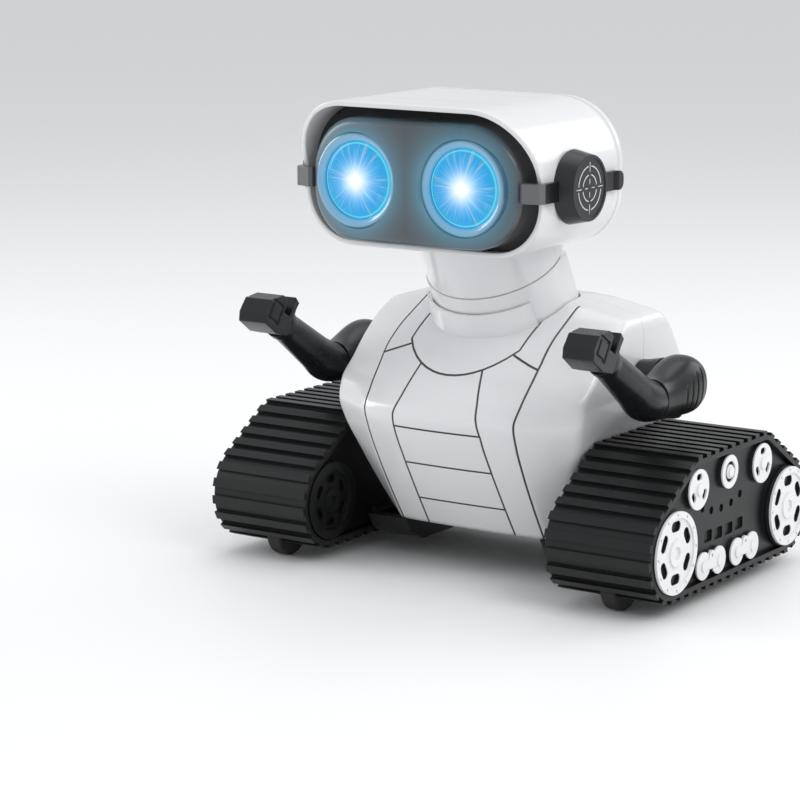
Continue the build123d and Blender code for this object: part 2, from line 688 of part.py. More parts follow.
# ---------------------------------------------------------------- chassis tub
HULL_PROFILE = [(HULL_FRONT_Y, HULL_TOP), (-27, 11.5), (-17, HULL_BOTTOM), (HULL_REAR_Y - 5, HULL_BOTTOM),
                (HULL_REAR_Y, 12), (HULL_REAR_Y, HULL_TOP)]
HULL_WALL = 2.0
DOOR_W, DOOR_Y_LOW, DOOR_Y_HIGH, DOOR_T = 60.0, 21.6, 37.6, 1.8
DOOR_SCREW_X, DOOR_SCREW_Y = 26.5, 29.6
TUNNEL_HALF_W = 34.0            # the tub's middle is raised between its two side fenders
TUNNEL_FRONT = (-24.0, 17.0)    # y and z of the raised floor's front and rear ends
TUNNEL_REAR = (18.0, HULL_BOTTOM)
SOCKET_Z, SWITCH_X, SWITCH_TRAVEL = 13.6, 22.0, 3.0


def hull_block(inset, half_w):
    """Boat-shaped block with its lower edges turned up at the front and rear."""
    with BuildSketch() as profile:
        add(outline(HULL_PROFILE))
        fillet(profile.vertices().group_by(Axis.Y)[0], 6)
        if inset:
            offset(amount=-inset, mode=Mode.REPLACE)
            with Locations((7.5, HULL_TOP)):
                Rectangle(HULL_REAR_Y - HULL_FRONT_Y - 12, 8)
    return prism(profile.sketch, side_plane(-half_w), 2 * half_w)


def tunnel(grow, half_w, top):
    """Space under the raised middle of the tub; grown by a wall thickness, it is the tub's new floor."""
    (front_y, front_z), (rear_y, rear_z) = TUNNEL_FRONT, TUNNEL_REAR
    profile = outline([(HULL_FRONT_Y - 5, -5), (HULL_FRONT_Y - 5, top), (front_y + grow, top),
                       (front_y + grow, front_z + 0.6 * grow), (rear_y + grow, rear_z + 0.95 * grow),
                       (rear_y + grow, -5)])
    return prism(profile, side_plane(-half_w), 2 * half_w)


with BuildPart() as chassis_hull:
    add(hull_block(0, HULL_HALF_W))
    add(hull_block(HULL_WALL, HULL_HALF_W - HULL_WALL), mode=Mode.SUBTRACT)
    with BuildPart(mode=Mode.PRIVATE) as tunnel_walls:
        add(tunnel(HULL_WALL, TUNNEL_HALF_W + HULL_WALL, 30))
        add(hull_block(0, HULL_HALF_W), mode=Mode.INTERSECT)
    add(tunnel_walls.part)
    add(tunnel(0, TUNNEL_HALF_W, 35), mode=Mode.SUBTRACT)
    for side in (1, -1):
        with Locations(((HULL_HALF_W + INNER_FACE) / 2 * side, 4, 14.5)):
            Box(INNER_FACE - HULL_HALF_W, 40, 7)
        add(cross_rod(min(side * 50, side * 66), max(side * 50, side * 66), REAR_WHEEL_Y,
                      REAR_WHEEL_R, AXLE_R + 0.1), mode=Mode.SUBTRACT)
        with Locations((side * DOOR_SCREW_X, DOOR_SCREW_Y, (HULL_BOTTOM + 15) / 2)):
            Cylinder(3.0, 15 - HULL_BOTTOM)
    with Locations((0, (DOOR_Y_LOW + DOOR_Y_HIGH) / 2, HULL_BOTTOM)):
        Box(DOOR_W + 0.4, DOOR_Y_HIGH - DOOR_Y_LOW + 0.4, 2 * DOOR_T, mode=Mode.SUBTRACT)
        Box(DOOR_W - 16, DOOR_Y_HIGH - DOOR_Y_LOW - 3, 8, mode=Mode.SUBTRACT)
    for side in (1, -1):
        with Locations((side * DOOR_SCREW_X, DOOR_SCREW_Y, 11)):
            Cylinder(SCREW_R, 8, mode=Mode.SUBTRACT)
    with Locations((0, HULL_REAR_Y, SOCKET_Z)):
        Box(9.4, 20, 3.6, mode=Mode.SUBTRACT)
    with Locations((SWITCH_X + SWITCH_TRAVEL / 2, HULL_REAR_Y, SOCKET_Z)):
        Box(4.0 + SWITCH_TRAVEL + 0.8, 10, 3.2, mode=Mode.SUBTRACT)
save(chassis_hull, "chassis_hull")

with BuildPart() as battery_door:
    with Locations((0, (DOOR_Y_LOW + DOOR_Y_HIGH) / 2, HULL_BOTTOM + DOOR_T / 2)):
        Box(DOOR_W, DOOR_Y_HIGH - DOOR_Y_LOW, DOOR_T)
    for side in (1, -1):
        with Locations((side * DOOR_SCREW_X, DOOR_SCREW_Y, HULL_BOTTOM + 0.5)):
            Cylinder(2.3, 1.2, mode=Mode.SUBTRACT)
            Cylinder(SCREW_R + 0.1, 8, mode=Mode.SUBTRACT)
    for row in range(-3, 4):
        with Locations((2.4 * row, -3.5, HULL_BOTTOM)):
            Box(1.2, 4, 0.8, mode=Mode.SUBTRACT)
save(battery_door, "battery_door")

with BuildPart() as door_screws:
    for side in (1, -1):
        with Locations((side * DOOR_SCREW_X, DOOR_SCREW_Y, HULL_BOTTOM + 0.6)):
            Cylinder(2.1, 1.0)
        with Locations((side * DOOR_SCREW_X, DOOR_SCREW_Y, HULL_BOTTOM + 4.2)):
            Cylinder(SCREW_R, 7)
save(door_screws, "door_screws")

with BuildPart() as battery_pack:
    with Locations((0, DOOR_SCREW_Y - 1.2, 14.2)):
        Box(42, 11.6, 9)
    fillet(battery_pack.edges().filter_by(Axis.X), 3)
save(battery_pack, "battery_pack")

with BuildPart() as charging_socket:
    with Locations((0, HULL_REAR_Y - 4.2, SOCKET_Z)):
        Box(9.2, 8, 3.4)
        Box(7.8, 10, 2.2, mode=Mode.SUBTRACT)
    with Locations((0, HULL_REAR_Y - 5.2, SOCKET_Z)):
        Box(6.0, 7.0, 0.7)
    with Locations((0, HULL_REAR_Y - 8.7, SOCKET_Z)):
        Box(9.2, 1.0, 3.4)
save(charging_socket, "charging_socket")

with BuildPart() as switch_body:
    with Locations((SWITCH_X + SWITCH_TRAVEL / 2, HULL_REAR_Y - HULL_WALL - 3.6, SOCKET_Z + 0.6)):
        Box(12, 4.4, 4.4)
save(switch_body, "switch_body")

with BuildPart() as switch_knob:
    with Locations((SWITCH_X, HULL_REAR_Y - 0.2, SOCKET_Z)):
        Box(4.0, 3.4, 2.6)
    for row in (-1, 0, 1):
        with Locations((SWITCH_X + 1.1 * row, HULL_REAR_Y + 1.6, SOCKET_Z)):
            Box(0.4, 0.8, 2.6, mode=Mode.SUBTRACT)
save(switch_knob, "switch_knob")

# ---------------------------------------------------------------- neck, turning part
LID_T = 1.8                     # lid of the column, with a slot for the wires

with BuildPart() as neck_column:
    add(neck_ring(NECK_R, NECK_R - 0.3, BAND_INNER_R - 0.4, GAP, 30))
    add(neck_ring(BAND_INNER_R - 0.4, BAND_INNER_R - 0.4, BAND_INNER_R - 2.2, FLOOR_H, 30))
    add(neck_ring(BAND_INNER_R - 1, BAND_INNER_R - 1, 11.0, FLOOR_H, FLOOR_H + 2))
    add(neck_ring(SPIGOT_R, SPIGOT_R, 16.0, PLATE_LOW - GAP, FLOOR_H))
    add(below(COLUMN_TOP_Z), mode=Mode.INTERSECT)
    with BuildPart(mode=Mode.PRIVATE) as stem:
        add(neck_ring(13.0, 13.0, 11.0, FLOOR_H, 40))
        add(below(150), mode=Mode.INTERSECT)
    add(stem.part)
    with BuildPart(mode=Mode.PRIVATE) as lid:
        add(neck_ring(BAND_INNER_R - 1, BAND_INNER_R - 1, 12.0, FLOOR_H, 30))
        with Locations((0, 0, COLUMN_TOP_Z - LID_T / 2)):
            Box(120, 120, LID_T, mode=Mode.INTERSECT)
        with Locations((0, -36, COLUMN_TOP_Z)):
            Box(10, 8, 3 * LID_T, mode=Mode.SUBTRACT)
    add(lid.part)
save(neck_column, "neck_column")

with BuildPart() as neck_retainer:
    add(neck_ring(24.0, 24.0, 16.0, PLATE_LOW - GAP - 2, PLATE_LOW - GAP))
save(neck_retainer, "neck_retainer")

# ---------------------------------------------------------------- head
def rounded_outline(corners):
    """Face with straight sides and its own radius at each corner (u, v, radius)."""
    with BuildSketch() as face:
        arcs = []
        for index, (u, v, radius) in enumerate(corners):
            before, after = corners[index - 1], corners[(index + 1) % len(corners)]
            to_before = Vector(before[0] - u, before[1] - v).normalized()
            to_after = Vector(after[0] - u, after[1] - v).normalized()
            half = radians(to_before.get_angle(to_after)) / 2
            reach_in = radius / max(1e-6, abs(sin(half) / cos(half)))
            towards = (to_before + to_after).normalized()
            corner = Vector(u, v)
            arcs.append((corner + to_before * reach_in,
                         corner + towards * (radius / sin(half) - radius),
                         corner + to_after * reach_in))
        with BuildLine():
            for index, (start, middle, end) in enumerate(arcs):
                ThreePointArc(start, middle, end)
                Line(end, arcs[(index + 1) % len(arcs)][0])
        make_face()
    return face.sketch


def head_block(inset=0.0):
    """Hood: the front outline, the side profile and the plan, each as a prism, intersected."""
    low, high = HEAD_BOTTOM + inset, HEAD_TOP - inset
    half, back = HEAD_HALF_W - inset, HEAD_BACK_Y - inset
    front = rounded_outline([(-half, low, 23 - inset), (half, low, 23 - inset),
                             (half, high, 27 - inset), (-half, high, 27 - inset)])
    ease = 0.04                 # keeps the three prisms' faces from coinciding
    if inset:
        nose = [(-100, low - ease, 0.5), (-100, high + ease, 0.5)]
    else:
        nose = [(-70.5, low - ease, 1.0), (-71.5, 174.0, 24), (-86.0, high + ease, 2.2)]
    side = rounded_outline([(back, low - ease, 15 - inset)] + nose
                           + [(-34, high + ease, 60), (-8, high - 1.5, 22), (back, 184, 22)])
    plan = rounded_outline([(-half - ease, -100, 1), (half + ease, -100, 1),
                            (half + ease, back, 22 - inset), (-half - ease, back, 22 - inset)])
    with BuildPart() as block:
        add(prism(front, front_plane(20), 130))
        add(prism(side, side_plane(-70), 140), mode=Mode.INTERSECT)
        add(prism(plan, Plane.XY.offset(130), 100), mode=Mode.INTERSECT)
    return block.part


RIM_GAP = 0.25
FLANGE_Y = -66.0                # front of the visor's flange, inside the hood

hood = head_block()
hood_inside = head_block(WALL)


def hood_half(y_low, y_high):
    """The hollow hood between two planes across it."""
    with BuildPart() as half:
        with Locations((0, (y_low + y_high) / 2, 175)):
            Box(140, y_high - y_low, 80)
        add(hood, mode=Mode.INTERSECT)
        add(hood_inside, mode=Mode.SUBTRACT)
        add(neck_ring(13.05, 13.05, 0, 0, 40), mode=Mode.SUBTRACT)
    return half.part


with BuildPart() as head_shell:
    add(hood_half(-100, HEAD_SPLIT_Y))
    with BuildSketch(Plane.XY.offset(HEAD_TOP - 0.5)):
        with Locations((0, -45)):
            RectangleRounded(72, 34, 5)
            RectangleRounded(70.6, 32.6, 4.4, mode=Mode.SUBTRACT)
    extrude(amount=2, mode=Mode.SUBTRACT)
save(head_shell, "head_shell")

with BuildPart() as head_rear_cover:
    add(hood_half(HEAD_SPLIT_Y, 20))
save(head_rear_cover, "head_rear_cover")


def visor_outline(half_w, low, high, r_low, r_high):
    """Stadium-like outline of the visor."""
    return rounded_outline([(-half_w, low, r_low), (half_w, low, r_low),
                            (half_w, high, r_high), (-half_w, high, r_high)])


VISOR_BULGE_R = 200.0
EYE_SEAT_Y = -71.0

with BuildPart() as visor:
    add(prism(visor_outline(VISOR_HALF_W, 147.3, 198.0, 21, 24), front_plane(FLANGE_Y), 20))
    with BuildPart(mode=Mode.PRIVATE) as bulge:
        with Locations((0, VISOR_Y + VISOR_BULGE_R, 172)):
            Cylinder(VISOR_BULGE_R, 120)
    add(bulge.part, mode=Mode.INTERSECT)
    flange_half = HEAD_HALF_W - WALL - RIM_GAP
    add(prism(visor_outline(flange_half, HEAD_BOTTOM + WALL + RIM_GAP, HEAD_TOP - WALL - RIM_GAP,
                            20.5, 24.5), front_plane(FLANGE_Y + 2), 2))
    for side in (1, -1):
        add(prism(disc_at(side * EYE_X, EYE_Z, EYE_RING_R + 0.1), front_plane(EYE_SEAT_Y), 20),
            mode=Mode.SUBTRACT)
        add(prism(disc_at(side * EYE_X, EYE_Z, 4.0), front_plane(-50), 30), mode=Mode.SUBTRACT)
save(visor, "visor")


def make_eye_ring():
    """Clear outer ring of the left eye, bevelled towards the lens."""
    with BuildPart() as ring:
        add(prism(disc_at(EYE_X, EYE_Z, EYE_RING_R), front_plane(EYE_SEAT_Y), 9.8))
        add(prism(disc_at(EYE_X, EYE_Z, EYE_R + 0.1), front_plane(EYE_SEAT_Y), 12), mode=Mode.SUBTRACT)
    return ring.part


def make_eye_lens():
    """Domed lens of the left eye."""
    dome_r = 60.0
    with BuildPart() as lens:
        with Locations((EYE_X, -81.0 + dome_r, EYE_Z)):
            Sphere(dome_r)
        add(prism(disc_at(EYE_X, EYE_Z, EYE_R), front_plane(EYE_SEAT_Y), 12), mode=Mode.INTERSECT)
    return lens.part


with BuildPart() as eye_board:
    with Locations((0, -62.9, EYE_Z)):
        Box(84, 1.6, 22)
    for side in (1, -1):
        add(prism(disc_at(side * EYE_X, EYE_Z, 2.5), front_plane(-63.7), 5.5))
save(eye_board, "eye_board")


STRAP_LOW, STRAP_HIGH, STRAP_T = 167.6, 175.6, 2.2


def make_temple_strap():
    """Side strap from the visor's edge, round the hood's rim and back past the ear disc."""
    x_in, x_out = HEAD_HALF_W, HEAD_HALF_W + STRAP_T
    with BuildPart() as strap:
        with BuildSketch(Plane.XY.offset(STRAP_LOW)):
            with BuildLine():
                Polyline((50.7, -76.6), (52.0, -77.6), (59.0, -75.6), (x_out, -73.6), (x_out, -17),
                         (x_out + 1.2, -16), (x_out + 1.2, -12), (x_in, -12), (x_in, -72.6),
                         (50.7, -73.0), close=True)
            make_face()
        extrude(amount=STRAP_HIGH - STRAP_LOW)
        add(visor.part, mode=Mode.SUBTRACT)
        add(hood, mode=Mode.SUBTRACT)
        fillet(strap.edges().group_by(Axis.Y)[-1].filter_by(Axis.X), 3.2)
    return strap.part


def make_ear_disc():
    """Round ear disc over the strap, its flank tapering outwards."""
    with BuildPart() as disc:
        with BuildSketch(side_plane(HEAD_HALF_W + 0.02)):
            with Locations((EAR_Y, EAR_Z)):
                Circle(EAR_R + 1.8)
        with BuildSketch(side_plane(HEAD_HALF_W + 8.4)):
            with Locations((EAR_Y, EAR_Z)):
                Circle(EAR_R)
        loft()
        add(strap_left, mode=Mode.SUBTRACT)
        with BuildSketch(side_plane(HEAD_HALF_W + 8.0)):
            with Locations((EAR_Y, EAR_Z)):
                Circle(EAR_R - 1.2)
        extrude(amount=1, mode=Mode.SUBTRACT)
    return disc.part


# ---------------------------------------------------------------- arms
def arm_plane(y, z, tilt):
    """Plane in the left arm whose local x is +X and whose normal rises towards the front by the tilt."""
    return Plane(origin=(ARM_X, y, z), x_dir=(1, 0, 0),
                 z_dir=(0, -cos(radians(tilt)), sin(radians(tilt))))


ELBOW_SLEEVE_R, FOREARM_R = 8.7, 8.3
elbow_plane = arm_plane(ELBOW_Y, ELBOW_Z, 0)
wrist_plane = arm_plane(WRIST_Y, WRIST_Z, WRIST_TILT)


def make_upper_arm():
    """Teardrop upper arm with its shoulder pivot, ribbed behind, with a socket for the elbow."""
    inner_x = ARM_X - ARM_HALF_T
    with BuildPart() as arm:
        with BuildSketch(side_plane(inner_x)):
            add(hull_of_circles([(-14.5, 84.3, 11.0), (5.0, 84.6, 12.6)]))
        extrude(amount=2 * ARM_HALF_T)
        fillet(arm.edges().filter_by(Plane.YZ), 4.5)
        with Locations((ARM_X, ELBOW_Y - 20, 84)):
            Box(40, 40, 40, mode=Mode.SUBTRACT)
        add(cross_rod(TORSO_SIDE_X + 0.5, inner_x + 3, SHOULDER_Y, SHOULDER_Z, 8.0))
        add(cross_rod(TORSO_SIDE_X - 5.4, TORSO_SIDE_X + 1, SHOULDER_Y, SHOULDER_Z, SHOULDER_PIN_R))
        add(cross_rod(TORSO_SIDE_X - 6.4, TORSO_SIDE_X - 3.0, SHOULDER_Y, SHOULDER_Z, 7.0))
        for index in range(6):
            with Locations(Location((ARM_X + ARM_HALF_T, 15.0 - 3.0 * index, 88), (18, 0, 0))):
                Box(3.0, 0.9, 13, mode=Mode.SUBTRACT)
        with BuildSketch(elbow_plane.offset(-8)):
            Circle(4.05)
        extrude(amount=10, mode=Mode.SUBTRACT)
    return arm.part


def make_forearm():
    """Forearm: elbow sleeve, rounded elbow, tapering tube and a wrist cuff."""
    with BuildPart() as arm:
        with Locations((ARM_X, ELBOW_Y - 4.2, ELBOW_Z - 0.2)):
            Sphere(FOREARM_R, rotation=(90, 0, 0))
        with BuildSketch(wrist_plane.offset(-37.0)):
            Circle(7.5)
        with BuildSketch(wrist_plane.offset(-4.0)):
            Circle(6.2)
        loft()
        with BuildSketch(wrist_plane.offset(-4.5)):
            Circle(7.0)
        extrude(amount=4.2)
        with Locations((ARM_X, ELBOW_Y + 20 - GAP - 1, ELBOW_Z)):
            Box(60, 40, 60, mode=Mode.SUBTRACT)
        add(prism(disc_at(0, 0, ELBOW_SLEEVE_R), elbow_plane.offset(GAP), 3.2))
        add(prism(disc_at(0, 0, 4.0), elbow_plane.offset(-7.5), 9))
        add(prism(disc_at(0, 0, 3.05), wrist_plane.offset(-6), 8), mode=Mode.SUBTRACT)
    return arm.part


CLAW_OUTLINE = [(0.0, -6.0), (8.0, -8.5), (17.5, -7.8), (19.2, -4.0), (18.2, 2.8), (11.5, 8.0),
                (7.6, 7.4), (7.6, 1.6), (2.8, 1.6), (3.0, 10.8), (-0.6, 9.6), (0.0, 6.4)]
CLAW_HALF_T = 7.2


def claw_plane(offset_x):
    """Plane of the claw's side: local x runs out from the wrist, local y across the arm, upwards."""
    tilt = radians(WRIST_TILT)
    return Plane(origin=(ARM_X + offset_x, WRIST_Y, WRIST_Z), x_dir=(0, -cos(tilt), sin(tilt)),
                 z_dir=(-1, 0, 0))


def make_claw():
    """Two-jawed claw with a notch between its jaws and a pin into the forearm."""
    with BuildPart() as claw:
        with BuildSketch(claw_plane(CLAW_HALF_T)):
            add(outline(CLAW_OUTLINE))
        extrude(amount=2 * CLAW_HALF_T)
        chamfer(claw.edges().filter_by(Plane.YZ), 0.8)
        for offset_x in (CLAW_HALF_T, -CLAW_HALF_T + 1.0):
            with BuildSketch(claw_plane(offset_x)):
                with Locations((12.8, -0.6)):
                    RectangleRounded(8.4, 9.4, 1)
                    RectangleRounded(5.6, 6.6, 0.8, mode=Mode.SUBTRACT)
            extrude(amount=1.0, mode=Mode.SUBTRACT)
        add(prism(disc_at(0, 0, 3.0), wrist_plane.offset(-5.5), 8))
    return claw.part


strap_left = make_temple_strap()
MIRRORED_PIECES = {
    "eye_ring": make_eye_ring,
    "eye_lens": make_eye_lens,
    "temple_strap": make_temple_strap,
    "ear_disc": make_ear_disc,
    "upper_arm": make_upper_arm,
    "forearm": make_forearm,
    "claw": make_claw,
}
for piece_name, make_piece in MIRRORED_PIECES.items():
    save_pair(piece_name, make_piece)
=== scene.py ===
"""Looks of the toy robot: smooth white shells, glowing eyes and moulded black plastic over the CAD frame."""
from math import cos, pi, radians, sin, sqrt

import bmesh
import bpy
from mathutils import Matrix, Vector
from mathutils.bvhtree import BVHTree
from mathutils.interpolate import poly_3d_calc


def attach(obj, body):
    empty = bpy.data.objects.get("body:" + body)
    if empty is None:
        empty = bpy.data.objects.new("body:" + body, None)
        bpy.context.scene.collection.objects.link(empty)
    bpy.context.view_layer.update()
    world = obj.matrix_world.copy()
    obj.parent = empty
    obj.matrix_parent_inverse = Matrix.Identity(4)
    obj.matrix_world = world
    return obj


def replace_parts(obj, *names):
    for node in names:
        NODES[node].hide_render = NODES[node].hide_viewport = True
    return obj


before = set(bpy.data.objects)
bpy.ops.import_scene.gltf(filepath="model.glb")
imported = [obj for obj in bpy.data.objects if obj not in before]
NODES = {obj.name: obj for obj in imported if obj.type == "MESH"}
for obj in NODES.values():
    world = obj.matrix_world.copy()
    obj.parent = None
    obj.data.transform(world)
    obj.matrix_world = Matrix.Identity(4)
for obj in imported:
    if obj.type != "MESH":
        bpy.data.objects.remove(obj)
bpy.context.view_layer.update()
MM = 0.001                      # shapes below are in millimetres, in the frame's axes

# ---------------------------------------------------------------- driving dimensions
SEAM_Y, SEAM_GAP = 8.0, 0.12
NECK_CENTRE = Vector((0, -13.8, 133.3))
NECK_AXIS = Vector((0, -sin(radians(27)), cos(radians(27))))
NECK_HOLE_R = 31.6
SHOULDER_Y, SHOULDER_Z, SHOULDER_HOLE_R = 5.0, 85.5, 5.1
WALL = 2.2
GROOVE_WIDTH, GROOVE_DEPTH = 0.9, 0.7
HEAD_HALF_W, HEAD_BOTTOM, HEAD_TOP = 58.0, 143.6, 205.0
HEAD_BACK_Y, HEAD_SPLIT_Y, HEAD_ROUND = 4.0, -10.0, 21.0
EYE_X, EYE_Y, EYE_Z = 25.8, -80.8, 172.2
EYE_R, EYE_RING_R = 16.0, 19.9
VISOR_Y, VISOR_HALF_W, VISOR_BULGE_R = -83.0, 50.6, 200.0
EAR_Y, EAR_Z = -48.0, 172.0

# camera of the reference view
CAMERA_PLACE = Vector((0.6517, -1.0618, 0.3166))
CAMERA_BACK = Vector((0.545, -0.8155, 0.1944))
CAMERA_LENS, CAMERA_SENSOR = 131.24, 36.0


# ---------------------------------------------------------------- materials
def material(name, slot_colour, roughness, **sockets):
    """New material with its shader's uniform values set; returns it with its node tree and shader."""
    made = bpy.data.materials.new(name)
    made.use_nodes = True
    shader = made.node_tree.nodes["Principled BSDF"]
    shader.inputs["Base Color"].default_value = (*slot_colour, 1)
    shader.inputs["Roughness"].default_value = roughness
    for socket, value in sockets.items():
        shader.inputs[socket.replace("_", " ")].default_value = value
    return made, made.node_tree, shader


def add_node(tree, kind, links=(), **values):
    """Node with its properties and inputs set, and linked from (socket, output) pairs."""
    node = tree.nodes.new("ShaderNode" + kind)
    for key, value in values.items():
        if hasattr(node, key):
            setattr(node, key, value)
        else:
            node.inputs[key.replace("_", " ")].default_value = value
    for socket, output in links:
        tree.links.new(output, node.inputs[socket])
    return node


def math_node(tree, operation, *values):
    """Math node on outputs or plain numbers; returns its output."""
    node = tree.nodes.new("ShaderNodeMath")
    node.operation = operation
    for index, value in enumerate(values):
        if isinstance(value, (int, float)):
            node.inputs[index].default_value = value
        else:
            tree.links.new(value, node.inputs[index])
    return node.outputs[0]


def product(tree, first, second):
    """Two values multiplied."""
    return math_node(tree, "MULTIPLY", first, second)


def decay(tree, distance, rate):
    """Value that falls off exponentially with distance."""
    return math_node(tree, "EXPONENT", product(tree, distance, -rate))


def length_of(tree, x, z):
    """Length of a pair of sides at right angles."""
    return math_node(tree, "SQRT", math_node(tree, "ADD", product(tree, x, x), product(tree, z, z)))


def mix_colours(tree, factor, first, second):
    """Mix of two colours, each a tuple or an output."""
    node = tree.nodes.new("ShaderNodeMix")
    node.data_type = "RGBA"
    tree.links.new(factor, node.inputs["Factor"])
    for socket, value in ((6, first), (7, second)):
        if isinstance(value, tuple):
            node.inputs[socket].default_value = (*value, 1)
        else:
            tree.links.new(value, node.inputs[socket])
    return node.outputs[2]


WEAR_START, WEAR_GAIN = 0.02, 9.0       # how far the edge has to turn before it wears, and how fast then
TONE_SPREAD = 0.015


def moulded(name, colour, worn_colour, roughness, grain=0.15, spread=0.08, edge=0.35, wear=0.35, **sockets):
    """Moulded plastic: mould grain, uneven gloss, softened edges and light wear along them."""
    made, tree, shader = material(name, colour, roughness, **sockets)
    place = add_node(tree, "TexCoord").outputs["Object"]
    broad = add_node(tree, "TexNoise", [("Vector", place)], Scale=45.0, Detail=4.0, Roughness=0.6)
    smudge = add_node(tree, "TexNoise", [("Vector", place)], Scale=190.0, Detail=3.0)
    fine = add_node(tree, "TexNoise", [("Vector", place)], Scale=2600.0, Detail=2.0)
    gloss = add_node(tree, "MapRange", [("Value", broad.outputs["Fac"])], From_Min=0.2, From_Max=0.8,
                     To_Min=roughness - spread / 2, To_Max=roughness + spread / 2)
    tree.links.new(gloss.outputs[0], shader.inputs["Roughness"])
    bevel = add_node(tree, "Bevel", samples=4, Radius=edge * MM)
    true_normal = add_node(tree, "NewGeometry").outputs["Normal"]
    along = add_node(tree, "VectorMath", [(0, bevel.outputs[0]), (1, true_normal)], operation="DOT_PRODUCT")
    bent = math_node(tree, "SUBTRACT", 1.0, along.outputs["Value"])
    sharp = math_node(tree, "MAXIMUM", math_node(tree, "SUBTRACT", bent, WEAR_START), 0.0)
    patchy = product(tree, sharp, product(tree, smudge.outputs["Fac"], WEAR_GAIN))
    rubbed = product(tree, math_node(tree, "MINIMUM", patchy, 1.0), wear)
    toned = mix_colours(tree, smudge.outputs["Fac"], tuple(c * (1 - TONE_SPREAD) for c in colour),
                        tuple(c * (1 + TONE_SPREAD) for c in colour))
    tree.links.new(mix_colours(tree, rubbed, toned, worn_colour), shader.inputs["Base Color"])
    bump = add_node(tree, "Bump", [("Height", fine.outputs["Fac"]), ("Normal", bevel.outputs[0])],
                    Strength=grain, Distance=0.05 * MM)
    tree.links.new(bump.outputs[0], shader.inputs["Normal"])
    return made


WHITE = moulded("white_gloss", (0.74, 0.74, 0.75), (0.84, 0.84, 0.84), 0.22, grain=0.04, spread=0.05,
                wear=0.5, Coat_Weight=0.5, Coat_Roughness=0.06)
WHEEL_COLOUR = (0.80, 0.80, 0.81)
HUB_WHITE, WHEEL_WHITE, LINK_WHITE = (
    moulded(name, (0.02, 0.021, 0.022), (0.06, 0.06, 0.062), 0.3, grain=0.06, spread=0.05, edge=0.25)
    for name in ("hub_white", "wheel_white", "link_white"))
TRACK = moulded("track_black", (0.008, 0.0085, 0.009), (0.05, 0.05, 0.052), 0.36, grain=0.3, spread=0.1,
                edge=0.45, Specular_IOR_Level=0.32)
BLACK = moulded("satin_black", (0.007, 0.0075, 0.008), (0.04, 0.04, 0.042), 0.34, grain=0.25, spread=0.1,
                Specular_IOR_Level=0.3)
ARM = moulded("arm_black", (0.008, 0.0085, 0.0095), (0.05, 0.05, 0.055), 0.27, grain=0.2, spread=0.08,
              edge=0.7, Specular_IOR_Level=0.4)
# Painted shade: mid grey for the shade that falls in the torso's panel-line grooves.
GROOVE_PAINTED_SHADE = moulded("groove_grey", (0.10, 0.105, 0.11), (0.14, 0.145, 0.15), 0.5, grain=0.1)
EAR_FACE = moulded("ear_grey", (0.018, 0.019, 0.021), (0.06, 0.06, 0.065), 0.3, grain=0.15,
                   Specular_IOR_Level=0.35)
PRINT = moulded("white_print", (0.75, 0.77, 0.78), (0.85, 0.86, 0.86), 0.5, grain=0.05)
STRAP = moulded("strap_black", (0.008, 0.008, 0.009), (0.05, 0.05, 0.05), 0.3, grain=0.2,
                Specular_IOR_Level=0.4)
RUBBER = moulded("wheel_rubber", (0.02, 0.02, 0.02), (0.05, 0.05, 0.05), 0.75, grain=0.6, wear=0.3)
NYLON = moulded("gear_nylon", (0.72, 0.71, 0.66), (0.8, 0.79, 0.75), 0.45, grain=0.2)
STEEL = moulded("bright_steel", (0.55, 0.55, 0.56), (0.7, 0.7, 0.7), 0.3, grain=0.2, Metallic=1.0)
BOARD = moulded("circuit_board", (0.02, 0.14, 0.06), (0.1, 0.25, 0.12), 0.45, grain=0.4)
WRAP = moulded("battery_wrap", (0.014, 0.014, 0.016), (0.05, 0.05, 0.052), 0.35, grain=0.15)
CONE = moulded("speaker_cone", (0.03, 0.03, 0.032), (0.2, 0.2, 0.2), 0.55, grain=0.5)


def two_tone(look, axis, limit, outer_colour):
    """The same plastic, in another colour farther out than a distance in mm along an axis."""
    tree = look.node_tree
    shader = tree.nodes["Principled BSDF"]
    source = shader.inputs["Base Color"].links[0].from_socket
    place = add_node(tree, "TexCoord").outputs["Object"]
    along = add_node(tree, "SeparateXYZ", [("Vector", place)]).outputs[axis]
    reach = math_node(tree, "ABSOLUTE", along)
    outer = math_node(tree, "GREATER_THAN", reach, limit * MM)
    tree.links.new(mix_colours(tree, outer, source, outer_colour), shader.inputs["Base Color"])


STRAP_FRONT_Y = 72.9            # farther out than these, in mm from the middle, the looks turn
HUB_DRUM_X, WHEEL_DRUM_X, LINK_DRUM_X = 109.3, 107.9, 107.7
two_tone(STRAP, "Y", STRAP_FRONT_Y, (0.13, 0.135, 0.14))
two_tone(HUB_WHITE, "X", HUB_DRUM_X, WHEEL_COLOUR)
two_tone(WHEEL_WHITE, "X", WHEEL_DRUM_X, WHEEL_COLOUR)
two_tone(LINK_WHITE, "X", LINK_DRUM_X, WHEEL_COLOUR)

GLOW = (0.05, 0.34, 0.52)       # light that the eyes throw on the visor
HALO_DECAY = 0.17


def radial(tree):
    """Place across an eye from its centre, in mm: x, z and distance."""
    place = add_node(tree, "TexCoord").outputs["Object"]
    across = add_node(tree, "SeparateXYZ", [("Vector", place)])
    x = product(tree, across.outputs["X"], 1 / MM)
    z = product(tree, across.outputs["Z"], 1 / MM)
    return x, z, length_of(tree, x, z)


def ramp(tree, value, stops):
    """Colour ramp on a value with (place, colour) stops."""
    node = add_node(tree, "ValToRGB", [("Fac", value)])
    elements = node.color_ramp.elements
    while len(elements) < len(stops):
        elements.new(0.5)
    for element, (place, colour) in zip(elements, stops):
        element.position = place
        element.color = (*colour, 1)
    return node.outputs["Color"]


BLACKNESS = (0.0, 0.0, 0.0)
STAR_WIDTH = 2.6                # mm squared, of the star's arms
STAR_DECAY, CORE_DECAY, RAY_DECAY = 0.34, 0.045, 0.10


